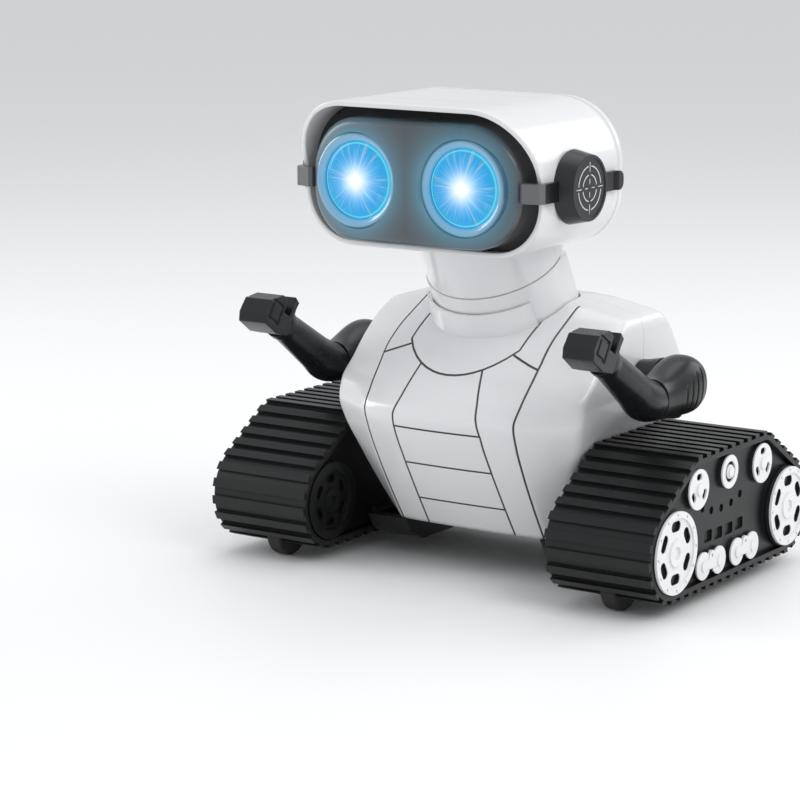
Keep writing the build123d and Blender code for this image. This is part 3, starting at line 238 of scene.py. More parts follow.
def eye_light():
    """Lit lens: a white star with fine rays on blue, brighter in a line round its edge."""
    made, tree, shader = material("eye_light", (0.0, 0.03, 0.06), 0.15, Specular_IOR_Level=0.3)
    x, z, distance = radial(tree)
    heading = add_node(tree, "CombineXYZ", [("X", math_node(tree, "DIVIDE", x, distance)),
                                            ("Z", math_node(tree, "DIVIDE", z, distance)),
                                            ("Y", product(tree, distance, 0.003))])
    streaks = add_node(tree, "TexNoise", [("Vector", heading.outputs[0])], Scale=9.0, Detail=4.0,
                       Roughness=0.75)
    share = math_node(tree, "DIVIDE", distance, EYE_R)
    wobble = product(tree, math_node(tree, "SUBTRACT", streaks.outputs["Fac"], 0.5), 1.7)
    streaked = math_node(tree, "ADD", share, product(tree, wobble, share))
    field = ramp(tree, streaked, [
        (0.0, (0.80, 0.93, 1.0)), (0.25, (0.38, 0.72, 0.95)), (0.48, (0.12, 0.46, 0.84)),
        (0.75, (0.025, 0.34, 0.72)), (0.92, (0.02, 0.38, 0.70)), (1.0, (0.02, 0.32, 0.58))])
    edge_line = ramp(tree, share, [
        (0.0, BLACKNESS), (0.90, BLACKNESS), (0.955, (0.10, 0.75, 0.95)), (1.0, (0.02, 0.25, 0.5))])
    off_arms = math_node(tree, "ABSOLUTE", product(tree, x, z))
    spike = math_node(tree, "DIVIDE", STAR_WIDTH, math_node(tree, "ADD", off_arms, STAR_WIDTH))
    arms = product(tree, product(tree, spike, decay(tree, distance, STAR_DECAY)), 0.9)
    core = product(tree, decay(tree, product(tree, distance, distance), CORE_DECAY), 0.75)
    ray = add_node(tree, "MapRange", [("Value", streaks.outputs["Fac"])], From_Min=0.53, From_Max=0.70,
                   To_Min=0.0, To_Max=0.9)
    rays = product(tree, ray.outputs[0], decay(tree, distance, RAY_DECAY))
    white = math_node(tree, "ADD", math_node(tree, "ADD", arms, core), rays)
    lit = mix_colours(tree, math_node(tree, "MINIMUM", white, 1.0), field, (1.0, 1.0, 1.0))
    edged = add_node(tree, "VectorMath", [(0, lit), (1, edge_line)], operation="MAXIMUM")
    tree.links.new(edged.outputs[0], shader.inputs["Emission Color"])
    shader.inputs["Emission Strength"].default_value = 1.0
    return made


def eye_rim_light():
    """Clear ring round the lens, carrying some of its light."""
    made, tree, shader = material("eye_rim", (0.1, 0.2, 0.3), 0.16, Coat_Weight=0.8)
    share = add_node(tree, "MapRange", [("Value", radial(tree)[-1])], From_Min=EYE_R, From_Max=EYE_RING_R,
                     To_Min=0.0, To_Max=1.0)
    colour = ramp(tree, share.outputs[0], [(0.0, (0.02, 0.16, 0.36)), (0.2, (0.10, 0.29, 0.45)),
                                           (0.7, (0.13, 0.27, 0.38)), (1.0, (0.03, 0.08, 0.13))])
    tree.links.new(colour, shader.inputs["Base Color"])
    tree.links.new(colour, shader.inputs["Emission Color"])
    shader.inputs["Emission Strength"].default_value = 0.5
    return made


def visor_tint():
    """Dark glossy visor, lit by the eyes around them."""
    made, tree, shader = material("visor_dark", (0.06, 0.06, 0.06), 0.3, Coat_Weight=0.25,
                                  Coat_Roughness=0.2)
    place = add_node(tree, "TexCoord").outputs["Object"]
    across = add_node(tree, "SeparateXYZ", [("Vector", place)])
    sideways = math_node(tree, "ABSOLUTE", product(tree, across.outputs["X"], 1 / MM))
    x = math_node(tree, "SUBTRACT", sideways, EYE_X)
    z = math_node(tree, "SUBTRACT", product(tree, across.outputs["Z"], 1 / MM), EYE_Z)
    past_ring = math_node(tree, "SUBTRACT", length_of(tree, x, z), EYE_RING_R)
    falloff = decay(tree, math_node(tree, "MAXIMUM", past_ring, 0.0), HALO_DECAY)
    forward = product(tree, across.outputs["Y"], -1 / MM)
    ahead = add_node(tree, "MapRange", [("Value", forward)], From_Min=74.5, From_Max=79.0,
                     To_Min=0.0, To_Max=1.0)
    glow = mix_colours(tree, product(tree, falloff, ahead.outputs[0]), BLACKNESS, GLOW)
    tree.links.new(glow, shader.inputs["Emission Color"])
    shader.inputs["Emission Strength"].default_value = 0.42
    speck = add_node(tree, "TexNoise", [("Vector", place)], Scale=60.0, Detail=3.0)
    shade = mix_colours(tree, speck.outputs["Fac"], (0.058, 0.058, 0.059), (0.074, 0.074, 0.075))
    tree.links.new(shade, shader.inputs["Base Color"])
    gloss = add_node(tree, "MapRange", [("Value", speck.outputs["Fac"])], From_Min=0.3, From_Max=0.7,
                     To_Min=0.27, To_Max=0.36)
    tree.links.new(gloss.outputs[0], shader.inputs["Roughness"])
    return made


EYE_LIGHT, EYE_RIM, VISOR = eye_light(), eye_rim_light(), visor_tint()


# ---------------------------------------------------------------- shape helpers
def piece(name, points, faces, look, body, slot, centre=(0, 0, 0)):
    """Mesh object from millimetre points, smooth-shaded, riding on a body."""
    mesh = bpy.data.meshes.new(name)
    centre = Vector(centre)
    mesh.from_pydata([(Vector(p) - centre) * MM for p in points], [], faces)
    mesh.validate()
    made = bpy.data.objects.new(name, mesh)
    made.location = centre * MM
    bpy.context.scene.collection.objects.link(made)
    tidy = bmesh.new()
    tidy.from_mesh(mesh)
    bmesh.ops.recalc_face_normals(tidy, faces=tidy.faces)
    tidy.to_mesh(mesh)
    tidy.free()
    mesh.materials.append(look)
    mesh.shade_smooth()
    if body:
        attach(made, body)
    return made


def rings_to_mesh(rings, last_cap=True, joined=False):
    """Points and faces through equal closed rings; joined runs the last ring into the first."""
    count = len(rings[0])
    points = [p for ring in rings for p in ring]
    faces = []
    spans = len(rings) if joined else len(rings) - 1
    for level in range(spans):
        a, b = level * count, (level + 1) % len(rings) * count
        for i in range(count):
            j = (i + 1) % count
            faces.append((a + i, a + j, b + j, b + i))
    for cap, start in ((True, 0), (last_cap, len(rings) - 1)):
        if cap and not joined:
            faces.append(tuple(range(start * count, (start + 1) * count)))
    return points, faces


def soften(made, angle=35):
    """Keep edges sharper than the angle crisp in the shading."""
    made.data.set_sharp_from_angle(angle=radians(angle))
    return made


def rounded_loop(corners, corner_steps, side_steps):
    """Closed loop of points round a polygon whose corners (u, v, radius) are rounded."""
    loop = []
    arcs = []
    for index, (u, v, radius) in enumerate(corners):
        corner = Vector((u, v))
        before = (Vector(corners[index - 1][:2]) - corner).normalized()
        after = (Vector(corners[(index + 1) % len(corners)][:2]) - corner).normalized()
        half = before.angle(after) / 2
        centre = corner + (before + after).normalized() * (radius / sin(half))
        reach = radius * cos(half) / sin(half)
        arcs.append((centre, corner + before * reach, corner + after * reach))
    for index, (centre, start, end) in enumerate(arcs):
        first, last = start - centre, end - centre
        swing = first.angle_signed(last) if first.length > 1e-6 else 0.0
        for step in range(corner_steps + 1):
            share = step / corner_steps
            turned = Matrix.Rotation(-swing * share, 2) @ first
            loop.append(centre + turned)
        following = arcs[(index + 1) % len(arcs)][1]
        for step in range(1, side_steps):
            loop.append(end.lerp(following, step / side_steps))
    return loop


def rounded_rectangle(half_w, low, high, r_low, r_high, corner_steps=14, side_steps=12):
    """Loop of (x, z) round a rectangle."""
    limit = min(half_w, (high - low) / 2) - 0.1
    r_low, r_high = max(0.6, min(r_low, limit)), max(0.6, min(r_high, limit))
    return rounded_loop([(-half_w, low, r_low), (half_w, low, r_low), (half_w, high, r_high),
                         (-half_w, high, r_high)], corner_steps, side_steps)


def apply_modifiers(made):
    """Bake an object's modifiers into its mesh."""
    bpy.context.view_layer.update()
    baked = bpy.data.meshes.new_from_object(made.evaluated_get(bpy.context.evaluated_depsgraph_get()))
    made.modifiers.clear()
    made.data = baked


def cut(target, tool):
    """Take a tool's shape out of a target, the cut faces taking the tool's material."""
    step = target.modifiers.new("cut", "BOOLEAN")
    step.object, step.operation, step.solver = tool, "DIFFERENCE", "EXACT"
    step.material_mode = "TRANSFER"
    apply_modifiers(target)
    bpy.data.objects.remove(tool)


def surface_of(made):
    """Search tree over an object's faces."""
    mesh = made.data
    return BVHTree.FromPolygons([v.co for v in mesh.vertices], [p.vertices for p in mesh.polygons])


def copy_of(made, name):
    """Second object with its own copy of the mesh."""
    twin = bpy.data.objects.new(name, made.data.copy())
    bpy.context.scene.collection.objects.link(twin)
    return twin


def take_normals(made, source):
    """Shade the faces that lie on a source surface with that surface's own smooth normals."""
    tree = surface_of(source)
    mesh = made.data
    normals = [Vector((0, 0, 0))] * len(mesh.loops)
    for face in mesh.polygons:
        _, facing, _, away = tree.find_nearest(face.center)
        if away > 0.15 * MM or face.normal.dot(facing) < 0.9:
            continue
        for loop_index in face.loop_indices:
            corner = mesh.vertices[mesh.loops[loop_index].vertex_index].co
            near, _, nearest, _ = tree.find_nearest(corner)
            around = source.data.polygons[nearest].vertices
            weights = poly_3d_calc([source.data.vertices[v].co for v in around], near)
            blended = Vector()
            for vertex, weight in zip(around, weights):
                blended += source.data.vertices[vertex].normal * weight
            if blended.length > 0:
                normals[loop_index] = blended.normalized()
    mesh.normals_split_custom_set(normals)


def block(name, low, high, look):
    """Plain box used as a cutting tool."""
    (x0, y0, z0), (x1, y1, z1) = low, high
    loop = [(x0, y0), (x1, y0), (x1, y1), (x0, y1)]
    rings = [[(x, y, z) for x, y in loop] for z in (z0, z1)]
    return piece(name, *rings_to_mesh(rings), look, None, None)


def axis_frame(axis):
    """Two unit vectors across an axis."""
    side = axis.cross(Vector((0, 0, 1)) if abs(axis.z) < 0.9 else Vector((1, 0, 0))).normalized()
    return side, side.cross(axis).normalized()


def lathe(name, origin, axis, profile, look, body, slot, steps=72, centre=(0, 0, 0)):
    """Turned piece: profile of (radius, height along the axis), closed on itself if off the axis."""
    axis = Vector(axis).normalized()
    side, up = axis_frame(axis)
    rings = []
    for radius, height in profile:
        middle = Vector(origin) + axis * height
        rings.append([middle + (side * cos(a) + up * sin(a)) * radius
                      for a in (2 * pi * i / steps for i in range(steps))])
    joined = profile[0][0] > 0.5 and profile[-1][0] > 0.5
    return piece(name, *rings_to_mesh(rings, joined=joined), look, body, slot, centre)


# ---------------------------------------------------------------- torso
# height; y of the front at the centre and at the facet; half width; y of the cheek's front and
# back edges; y of the rear at the facet and at the centre
TORSO_SECTIONS = [
    (18.6, -31.5, -30.0, 45.0, -21.0, 25.0, 33.0, 34.5),
    (34.0, -41.4, -39.8, 49.5, -30.0, 34.0, 43.0, 44.5),
    (50.0, -51.4, -49.2, 54.2, -38.0, 41.0, 51.0, 53.0),
    (64.0, -59.4, -56.2, 59.4, -42.5, 46.0, 56.5, 59.0),
    (72.0, -62.4, -58.6, 61.0, -44.0, 47.5, 58.0, 61.0),
    (80.0, -58.0, -53.6, 61.0, -42.5, 47.0, 57.0, 60.0),
    (89.0, -51.2, -46.0, 61.0, -33.0, 43.5, 53.0, 56.0),
    (97.0, -43.0, -38.8, 61.0, -24.5, 38.5, 47.5, 50.0),
    (104.0, -33.0, -29.5, 61.0, -15.5, 33.5, 41.5, 43.5),
    (110.0, -22.0, -18.0, 59.5, -6.5, 28.0, 34.5, 36.0),
    (115.5, -10.0, -7.0, 43.0, 0.0, 21.0, 26.0, 27.0),
    (116.8, -7.0, -4.0, 36.0, 2.0, 18.0, 23.0, 24.0),
]
FACET_X = 37.0


def between(heights, values, height):
    """Smooth curve through values at rising heights, with no overshoot."""
    index = max(i for i in range(len(heights) - 1) if heights[i] <= height or i == 0)
    slopes = [(values[i + 1] - values[i]) / (heights[i + 1] - heights[i]) for i in range(len(heights) - 1)]

    def tangent(i):
        if i == 0 or i == len(heights) - 1:
            return slopes[min(i, len(slopes) - 1)]
        before, after = slopes[i - 1], slopes[i]
        return 0.0 if before * after <= 0 else 2 * before * after / (before + after)
    span = heights[index + 1] - heights[index]
    t = (height - heights[index]) / span
    return ((2 * t**3 - 3 * t**2 + 1) * values[index] + (t**3 - 2 * t**2 + t) * span * tangent(index)
            + (3 * t**2 - 2 * t**3) * values[index + 1] + (t**3 - t**2) * span * tangent(index + 1))


FACET_CORNER_R, CHEEK_CORNER_R = 9, 5       # of the torso's corners, seen from above


def torso_loop(sizes, inset):
    """Loop round the torso at one height, from its seven sizes."""
    front, front_facet, half_w, cheek, cheek_back, rear_facet, rear = sizes
    facet = max(4.0, min(FACET_X, half_w - 8))
    half_w = half_w - inset
    left = [(facet, front_facet + inset, FACET_CORNER_R), (half_w, cheek + inset / 2, CHEEK_CORNER_R),
            (half_w, cheek_back - inset / 2, CHEEK_CORNER_R), (facet, rear_facet - inset, FACET_CORNER_R)]
    corners = [(-u, v, radius) for u, v, radius in left[:1]] + left
    corners += [(-u, v, radius) for u, v, radius in reversed(left[1:])]
    widest = min(half_w - facet, cheek_back - cheek) / 2.4
    corners = [(u, v, min(radius, widest)) for u, v, radius in corners]
    loop = []
    middle = (cheek + cheek_back) / 2
    for x, y in rounded_loop(corners, 6, 14):
        bulge = max(0.0, 1 - (x / facet) ** 2)
        y += (front - front_facet) * bulge if y < middle else (rear - rear_facet) * bulge
        loop.append((x, y))
    return loop


def torso_rings(inset, levels):
    """Rings up the torso's skin, moved in by the inset."""
    heights = [row[0] for row in TORSO_SECTIONS]
    low, high = heights[0], heights[-1]
    rings = []
    for level in range(levels + 1):
        share = level / levels
        height = low + (high - low) * (1 - (1 - share) ** 1.6)
        sizes = [between(heights, [row[i] for row in TORSO_SECTIONS], height) for i in range(1, 8)]
        lowered = height - inset * max(0.0, (height - 64) / (high - 64))
        rings.append([(x, y, lowered) for x, y in torso_loop(sizes, inset)])
    return rings


def torso_solid(name, inset, levels):
    """Closed smooth torso, its skin moved in by the inset."""
    rings = torso_rings(inset, levels)
    if inset:
        rings.insert(0, [(x, y, z - 3) for x, y, z in rings[0]])
    return piece(name, *rings_to_mesh(rings), WHITE, None, None)


CENTRE_LINE = [(21.9, 17), (21.5, 66), (20.8, 72), (15.2, 92.4)]
FACET_LINE = [(35.6, 17), (37.1, 72.7), (38.7, 96), (37.2, 117)]
NECK_LINE = [(27, 100), (27.6, 118)]
LINK_LINE = [(25.2, 98.4), (38.5, 93.5)]
CROSS_HEIGHTS = (31.3, 49.0, 66.3)
CROSS_HALF_W = 21.6
REAR_CROSS = [(-36.5, 49.0), (36.5, 49.0)]
NECKLINE_HALF_W, NECKLINE_LOW, NECKLINE_RISE = 27.0, 89.0, 11.0
NECKLINE_R = (NECKLINE_HALF_W**2 + NECKLINE_RISE**2) / (2 * NECKLINE_RISE)
SLOT_PITCH, SLOT_HALF_H, SLOT_MIDDLE_Z = 4.4, 0.9, 66


def panel_groove(path, surface, from_front):
    """Cutter for one panel line: a ribbon that follows the torso's skin along a path of (x, z)."""
    samples = []
    for (x0, z0), (x1, z1) in zip(path, path[1:]):
        steps = max(1, int(sqrt((x1 - x0) ** 2 + (z1 - z0) ** 2) / 1.6))
        samples += [(x0 + (x1 - x0) * i / steps, z0 + (z1 - z0) * i / steps) for i in range(steps)]
    samples.append(path[-1])
    reach = -1 if from_front else 1
    rings = []
    for index, (x, z) in enumerate(samples):
        x_next, z_next = samples[min(index + 1, len(samples) - 1)]
        x_last, z_last = samples[max(index - 1, 0)]
        run = Vector((x_next - x_last, 0, z_next - z_last)).normalized()
        hit, facing, _, _ = surface.ray_cast(Vector((x, reach * 200, z)) * MM, Vector((0, -reach, 0)))
        if hit is None:
            continue
        facing = Vector((0, reach, 0)) * 0.75 + facing * 0.25
        across = run.cross(facing).normalized() * (GROOVE_WIDTH / 2)
        up = facing.normalized()
        hit = hit / MM
        rings.append([hit + across + up, hit - across + up, hit - across - up * GROOVE_DEPTH,
                      hit + across - up * GROOVE_DEPTH])
    if len(rings) < 2:
        return None
    # The faces this cutter leaves in the groove take its painted shade grey.
    return piece("panel_line", *rings_to_mesh(rings), GROOVE_PAINTED_SHADE, None, None)


def build_torso():
    """Front and rear torso shells with their panel lines."""
    skin = torso_solid("torso_skin", 0.0, 96)
    surface = surface_of(skin)
    whole = copy_of(skin, "torso_whole")
    cut(whole, torso_solid("torso_inside", WALL, 40))
    cut(whole, lathe("neck_hole", NECK_CENTRE, NECK_AXIS,
                     [(0.01, -60), (NECK_HOLE_R, -60), (NECK_HOLE_R, 20), (0.01, 20)],
                     WHITE, None, None, steps=144))
    for side in (1, -1):
        cut(whole, lathe("shoulder_hole", (side * 50, SHOULDER_Y, SHOULDER_Z), (side, 0, 0),
                         [(0.01, 0), (SHOULDER_HOLE_R, 0), (SHOULDER_HOLE_R, 20), (0.01, 20)],
                         WHITE, None, None, steps=40))
    neckline = []
    for step in range(15):
        x = -NECKLINE_HALF_W + 2 * NECKLINE_HALF_W * step / 14
        neckline.append((x, NECKLINE_LOW + NECKLINE_R - sqrt(NECKLINE_R**2 - x * x)))

    def both_sides(*lines):
        return [[(side * x, z) for x, z in line] for side in (1, -1) for line in lines]
    shared = both_sides(FACET_LINE, NECK_LINE)
    crossing = [[(-CROSS_HALF_W, z), (CROSS_HALF_W, z)] for z in CROSS_HEIGHTS]
    front_lines = shared + both_sides(CENTRE_LINE, LINK_LINE) + crossing + [neckline]
    for name, low_y, high_y, lines in (("front", SEAM_Y - SEAM_GAP, 90, front_lines),
                                       ("back", -90, SEAM_Y + SEAM_GAP, shared + [REAR_CROSS])):
        shell = copy_of(whole, f"torso_{name}_look")
        cut(shell, block("other_half", (-90, low_y, -10), (90, high_y, 150), WHITE))
        for line in lines:
            tool = panel_groove(line, surface, name == "front")
            if tool:
                cut(shell, tool)
        if name == "back":
            for row in range(-2, 3):
                half_w = (20 - 3 * abs(row)) / 2
                z = SLOT_MIDDLE_Z + SLOT_PITCH * row
                cut(shell, block("speaker_slot", (-half_w, 40, z - SLOT_HALF_H),
                                 (half_w, 80, z + SLOT_HALF_H), WHITE))
        take_normals(shell, skin)
        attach(shell, "body")
        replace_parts(shell, f"torso_{name}_shell")
    for spare in (whole, skin):
        bpy.data.objects.remove(spare)


# ---------------------------------------------------------------- head
HOOD_RIM_Y, BROW_START_Z, BROW_LEAN, BROW_REACH = -70.6, 172.0, 0.6, 13.6
HOOD_R_LOW, HOOD_R_HIGH = 23, 27
HOOD_RIM_R = 0.7
TOP_LINE_Y, TOP_LINE_HALF_W, TOP_LINE_HALF_D, TOP_LINE_R = -45, 36, 17, 5
TOP_LINE_WIDTH, TOP_LINE_DEPTH = 0.55, 0.22


def brow_y(z):
    """Front of the hood's rim at a height: nearly level below, running forward to the brow above."""
    if z <= BROW_START_Z:
        return HOOD_RIM_Y - BROW_LEAN * (z - HEAD_BOTTOM) / (BROW_START_Z - HEAD_BOTTOM)
    share = (z - BROW_START_Z) / (HEAD_TOP - BROW_START_Z)
    return HOOD_RIM_Y - (BROW_LEAN + BROW_REACH * share**1.25)


def hood_ring(inset, depth_of):
    """Ring round the hood, moved in by the inset, at the depth given for each outer height."""
    outer = rounded_rectangle(HEAD_HALF_W, HEAD_BOTTOM, HEAD_TOP, HOOD_R_LOW, HOOD_R_HIGH)
    inner = rounded_rectangle(HEAD_HALF_W - inset, HEAD_BOTTOM + inset, HEAD_TOP - inset,
                              HOOD_R_LOW - inset, HOOD_R_HIGH - inset)
    return [(x, depth_of(z_out), z) for (_, z_out), (x, z) in zip(outer, inner)]


def quarter(steps):
    """Shares (run, rise) of a quarter circle."""
    return [(1 - cos(pi / 2 * i / steps), sin(pi / 2 * i / steps)) for i in range(steps + 1)]


def build_hood():
    """Hood with a rounded rim and a fine line round the middle of its top."""
    straight = 16
    back = HEAD_SPLIT_Y - SEAM_GAP

    def run(inset, share):
        return hood_ring(inset, lambda z: back + (brow_y(z) + HOOD_RIM_R - back) * share)
    rings = [run(0.25, 0.0), hood_ring(0.0, lambda z: back - 0.3)]
    rings += [run(0.0, i / straight) for i in range(1, straight + 1)]
    for inward, forward in quarter(5)[1:]:
        rings.append(hood_ring(HOOD_RIM_R * inward,
                               lambda z: brow_y(z) + HOOD_RIM_R - HOOD_RIM_R * forward))
    for inward, forward in reversed(quarter(5)[:-1]):
        rings.append(hood_ring(WALL - HOOD_RIM_R * inward,
                               lambda z: brow_y(z) + HOOD_RIM_R - HOOD_RIM_R * forward))
    rings += [run(WALL, 1 - i / 6) for i in range(1, 7)]
    hood = piece("hood_look", *rings_to_mesh(rings, joined=True), WHITE, None, None)
    smooth = copy_of(hood, "hood_skin")
    low_y, high_y = TOP_LINE_Y - TOP_LINE_HALF_D, TOP_LINE_Y + TOP_LINE_HALF_D
    outline = rounded_loop([(-TOP_LINE_HALF_W, low_y, TOP_LINE_R), (TOP_LINE_HALF_W, low_y, TOP_LINE_R),
                            (TOP_LINE_HALF_W, high_y, TOP_LINE_R), (-TOP_LINE_HALF_W, high_y, TOP_LINE_R)],
                           6, 6)
    bottom, above = HEAD_TOP - TOP_LINE_DEPTH, HEAD_TOP + 1
    rings = []
    for inset, z in ((0, bottom), (0, above), (TOP_LINE_WIDTH, above), (TOP_LINE_WIDTH, bottom)):
        narrow = (TOP_LINE_HALF_W - inset) / TOP_LINE_HALF_W
        short = (TOP_LINE_HALF_D - inset) / TOP_LINE_HALF_D
        rings.append([(x * narrow, TOP_LINE_Y + (y - TOP_LINE_Y) * short, z) for x, y in outline])
    cut(hood, piece("top_line", *rings_to_mesh(rings, joined=True), WHITE, None, None))
    take_normals(hood, smooth)
    bpy.data.objects.remove(smooth)
    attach(hood, "head")
    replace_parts(hood, "head_shell")


def build_rear_cover():
    """Rear cover of the head with a rounded back."""
    split = HEAD_SPLIT_Y + SEAM_GAP
    rings = [hood_ring(inset, lambda z, y=y: y)
             for inset, y in ((WALL + HEAD_ROUND * 0.9, HEAD_BACK_Y - WALL), (WALL, split + 0.5),
                              (WALL, split), (0.25, split), (0.0, split + 0.3))]
    back_round = min(HEAD_ROUND, HEAD_BACK_Y - split - 0.4)
    for inward, backward in quarter(12):
        rings.append(hood_ring(HEAD_ROUND * inward,
                               lambda z: HEAD_BACK_Y - back_round + back_round * backward))
    cover = piece("rear_cover_look", *rings_to_mesh(rings), WHITE, "head", "white_shell")
    soften(cover, 40)
    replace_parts(cover, "head_rear_cover")


VISOR_SIDE_STEPS = 16
VISOR_LOW, VISOR_HIGH, VISOR_RADII, VISOR_EDGE_R = 147.3, 198.0, (21, 24), 3.2
FLANGE = dict(half=55.5, low=146.1, high=202.5, radii=(20.5, 24.5))
FLANGE_FRONT_Y, FLANGE_BACK_Y = -66.0, -64.0
SEAT_BACK_Y, SEAT_CLEARANCE = -71.0, 0.15


def visor_front(x):
    """y of the visor's bowed face."""
    return VISOR_Y + VISOR_BULGE_R - sqrt(VISOR_BULGE_R**2 - x * x)


def build_visor():
    """Dark visor with rounded edges, a flange behind and seats for the eyes."""
    def ring(inset, depth_of, half=VISOR_HALF_W, low=VISOR_LOW, high=VISOR_HIGH, radii=VISOR_RADII):
        loop = rounded_rectangle(half - inset, low + inset, high - inset, radii[0] - inset,
                                 radii[1] - inset, side_steps=VISOR_SIDE_STEPS)
        return [(x, depth_of(x), z) for x, z in loop]
    rings = [ring(inset, lambda x, y=y: y, **FLANGE)
             for inset, y in ((4, FLANGE_BACK_Y), (0, FLANGE_BACK_Y), (0, FLANGE_FRONT_Y))]
    rings.append(ring(0, lambda x: FLANGE_FRONT_Y))
    for inward, forward in quarter(7):
        rings.append(ring(VISOR_EDGE_R * inward,
                          lambda x: visor_front(x) + VISOR_EDGE_R - VISOR_EDGE_R * forward))
    for inset in (6, 9, 12, 15, 18, 21, 23, 24.3):
        rings.append(ring(inset, visor_front))
    points, faces = rings_to_mesh(rings, last_cap=False)
    count = len(rings[0])
    last = len(points) - count
    one_end = count // 2 - VISOR_SIDE_STEPS
    other_end = count - VISOR_SIDE_STEPS
    for k in range(one_end):    # strips between the innermost ring's long sides
        mirror = other_end - k
        faces.append((last + k, last + k + 1, last + mirror - 1, last + mirror))
    faces.append(tuple(last + k for k in range(one_end, count // 2 + 1)))
    faces.append(tuple(last + k for k in range(other_end, count)) + (last,))
    visor = piece("visor_look", points, faces, VISOR, None, None)
    skin = copy_of(visor, "visor_skin")
    seat_r = EYE_RING_R + SEAT_CLEARANCE
    for side in (1, -1):
        cut(visor, lathe("eye_seat", (side * EYE_X, SEAT_BACK_Y, EYE_Z), (0, -1, 0),
                         [(0.01, 0), (seat_r, 0), (seat_r, 20), (0.01, 20)], VISOR, None, None, steps=96))
    take_normals(visor, skin)
    bpy.data.objects.remove(skin)
    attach(visor, "head")
    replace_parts(visor, "visor")


def build_eye(side, name):
    """Lit lens and its clear ring."""
    centre = (side * EYE_X, EYE_Y, EYE_Z)
    dome = [(0.01, 0.3)] + [(EYE_R * i / 14, 0.3 - 1.9 * (i / 14) ** 2) for i in range(1, 14)]
    dome += [(EYE_R - 0.1, -1.9), (EYE_R - 0.1, -8), (0.01, -8)]
    lens = lathe(f"lens_{name}_look", centre, (0, -1, 0), dome, EYE_LIGHT, "head", "eye_glow", steps=96,
                 centre=centre)
    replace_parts(soften(lens), f"eye_lens_{name}")
    profile = [(EYE_R, -8), (EYE_R, -1.6), (EYE_R + 0.5, -1.1), (EYE_R + 1.6, -0.2), (EYE_R + 2.3, 0.15),
               (EYE_RING_R - 0.9, 0.15), (EYE_RING_R - 0.2, -0.3), (EYE_RING_R, -1.0), (EYE_RING_R, -8)]
    ring = lathe(f"eye_ring_{name}_look", centre, (0, -1, 0), profile, EYE_RIM, "head", "eye_clear",
                 steps=96, centre=centre)
    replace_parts(soften(ring), f"eye_ring_{name}")


def arc_strip(r_low, r_high, start, end, x_low, x_high, steps):
    """Closed strip of a flat ring about the ear's centre, between two angles."""
    rings = []
    for step in range(steps + 1):
        angle = radians(start + (end - start) * step / steps)
        rings.append([(x, EAR_Y + r * cos(angle), EAR_Z + r * sin(angle))
                      for r, x in ((r_low, x_low), (r_high, x_low), (r_high, x_high), (r_low, x_high))])
    return rings_to_mesh(rings)


EAR_DISC_T = 8.0
PRINT_HALF_W, TICK_HALF_W = 0.22, 0.18


def build_ear_mark(side, name):
    """Printed ring and cross lines on an ear disc's face."""
    face_x = HEAD_HALF_W + EAR_DISC_T
    low, high = face_x - 0.05, face_x + 0.12
    points, faces = [], []

    def join(part):
        base = len(points)
        points.extend((side * x, y, z) for x, y, z in part[0])
        faces.extend(tuple(base + i for i in face) for face in part[1])
    for r, gap in ((8.9, 14), (5.4, 20)):
        for quarter_turn in range(4):
            start = 90 * quarter_turn + gap / 2
            join(arc_strip(r - PRINT_HALF_W, r + PRINT_HALF_W, start, start + 90 - gap, low, high, 12))
    middle = Vector((0, EAR_Y, EAR_Z))
    for quarter_turn in range(4):
        angle = radians(90 * quarter_turn)
        across = Vector((0, -sin(angle), cos(angle))) * TICK_HALF_W
        out = Vector((0, cos(angle), sin(angle)))
        for near, far in ((1.6, 3.8), (6.6, 10.6)):
            loop = [middle + out * near - across, middle + out * far - across,
                    middle + out * far + across, middle + out * near + across]
            join(rings_to_mesh([[(x, p.y, p.z) for p in loop] for x in (low, high)]))
    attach(piece(f"ear_mark_{name}", points, faces, PRINT, None, None), "head")


# ---------------------------------------------------------------- arms
ARM_X = 80.0
ARM_REAR, ARM_FRONT, ARM_FAT_Y = 17.6, -20.0, 5.0
ARM_HALF_H, ARM_HALF_W, ARM_MID_Z = 12.6, 10.9, 84.6
ARM_TAPER_H, ARM_TAPER_W, ARM_DROP = 3.7, 2.0, 2.6
ARM_SQUARENESS = 0.86           # power on the section's sine and cosine: 1 is an ellipse
CAP_Y, CAP_Z = -1.0, 73.6
HUB_X = 61.6
ELBOW = Vector((ARM_X, -20.0, 82.0))
WRIST_TILT = radians(31.5)
WRIST = Vector((ARM_X, -61.0, 105.6))
RIB_PITCH, RIB_DEPTH, RIB_COUNT, RIB_HALF_W, RIB_START = 3.9, 1.2, 6, 0.6, 3.8


def arm_section(y):
    """Half height, half width and middle height of the upper arm at a place along it."""
    if y > ARM_FAT_Y:
        swell = sqrt(max(0.0, 1 - ((y - ARM_FAT_Y) / (ARM_REAR - ARM_FAT_Y)) ** 2))
        sizes = ARM_HALF_H * swell, ARM_HALF_W * swell**0.75, ARM_MID_Z
    else:
        share = (ARM_FAT_Y - y) / (ARM_FAT_Y - ARM_FRONT)
        ease = share * share * (3 - 2 * share)
        sizes = (ARM_HALF_H - ARM_TAPER_H * ease, ARM_HALF_W - ARM_TAPER_W * ease,
                 ARM_MID_Z - ARM_DROP * ease)
    return max(sizes[0], 0.15), max(sizes[1], 0.15), sizes[2]


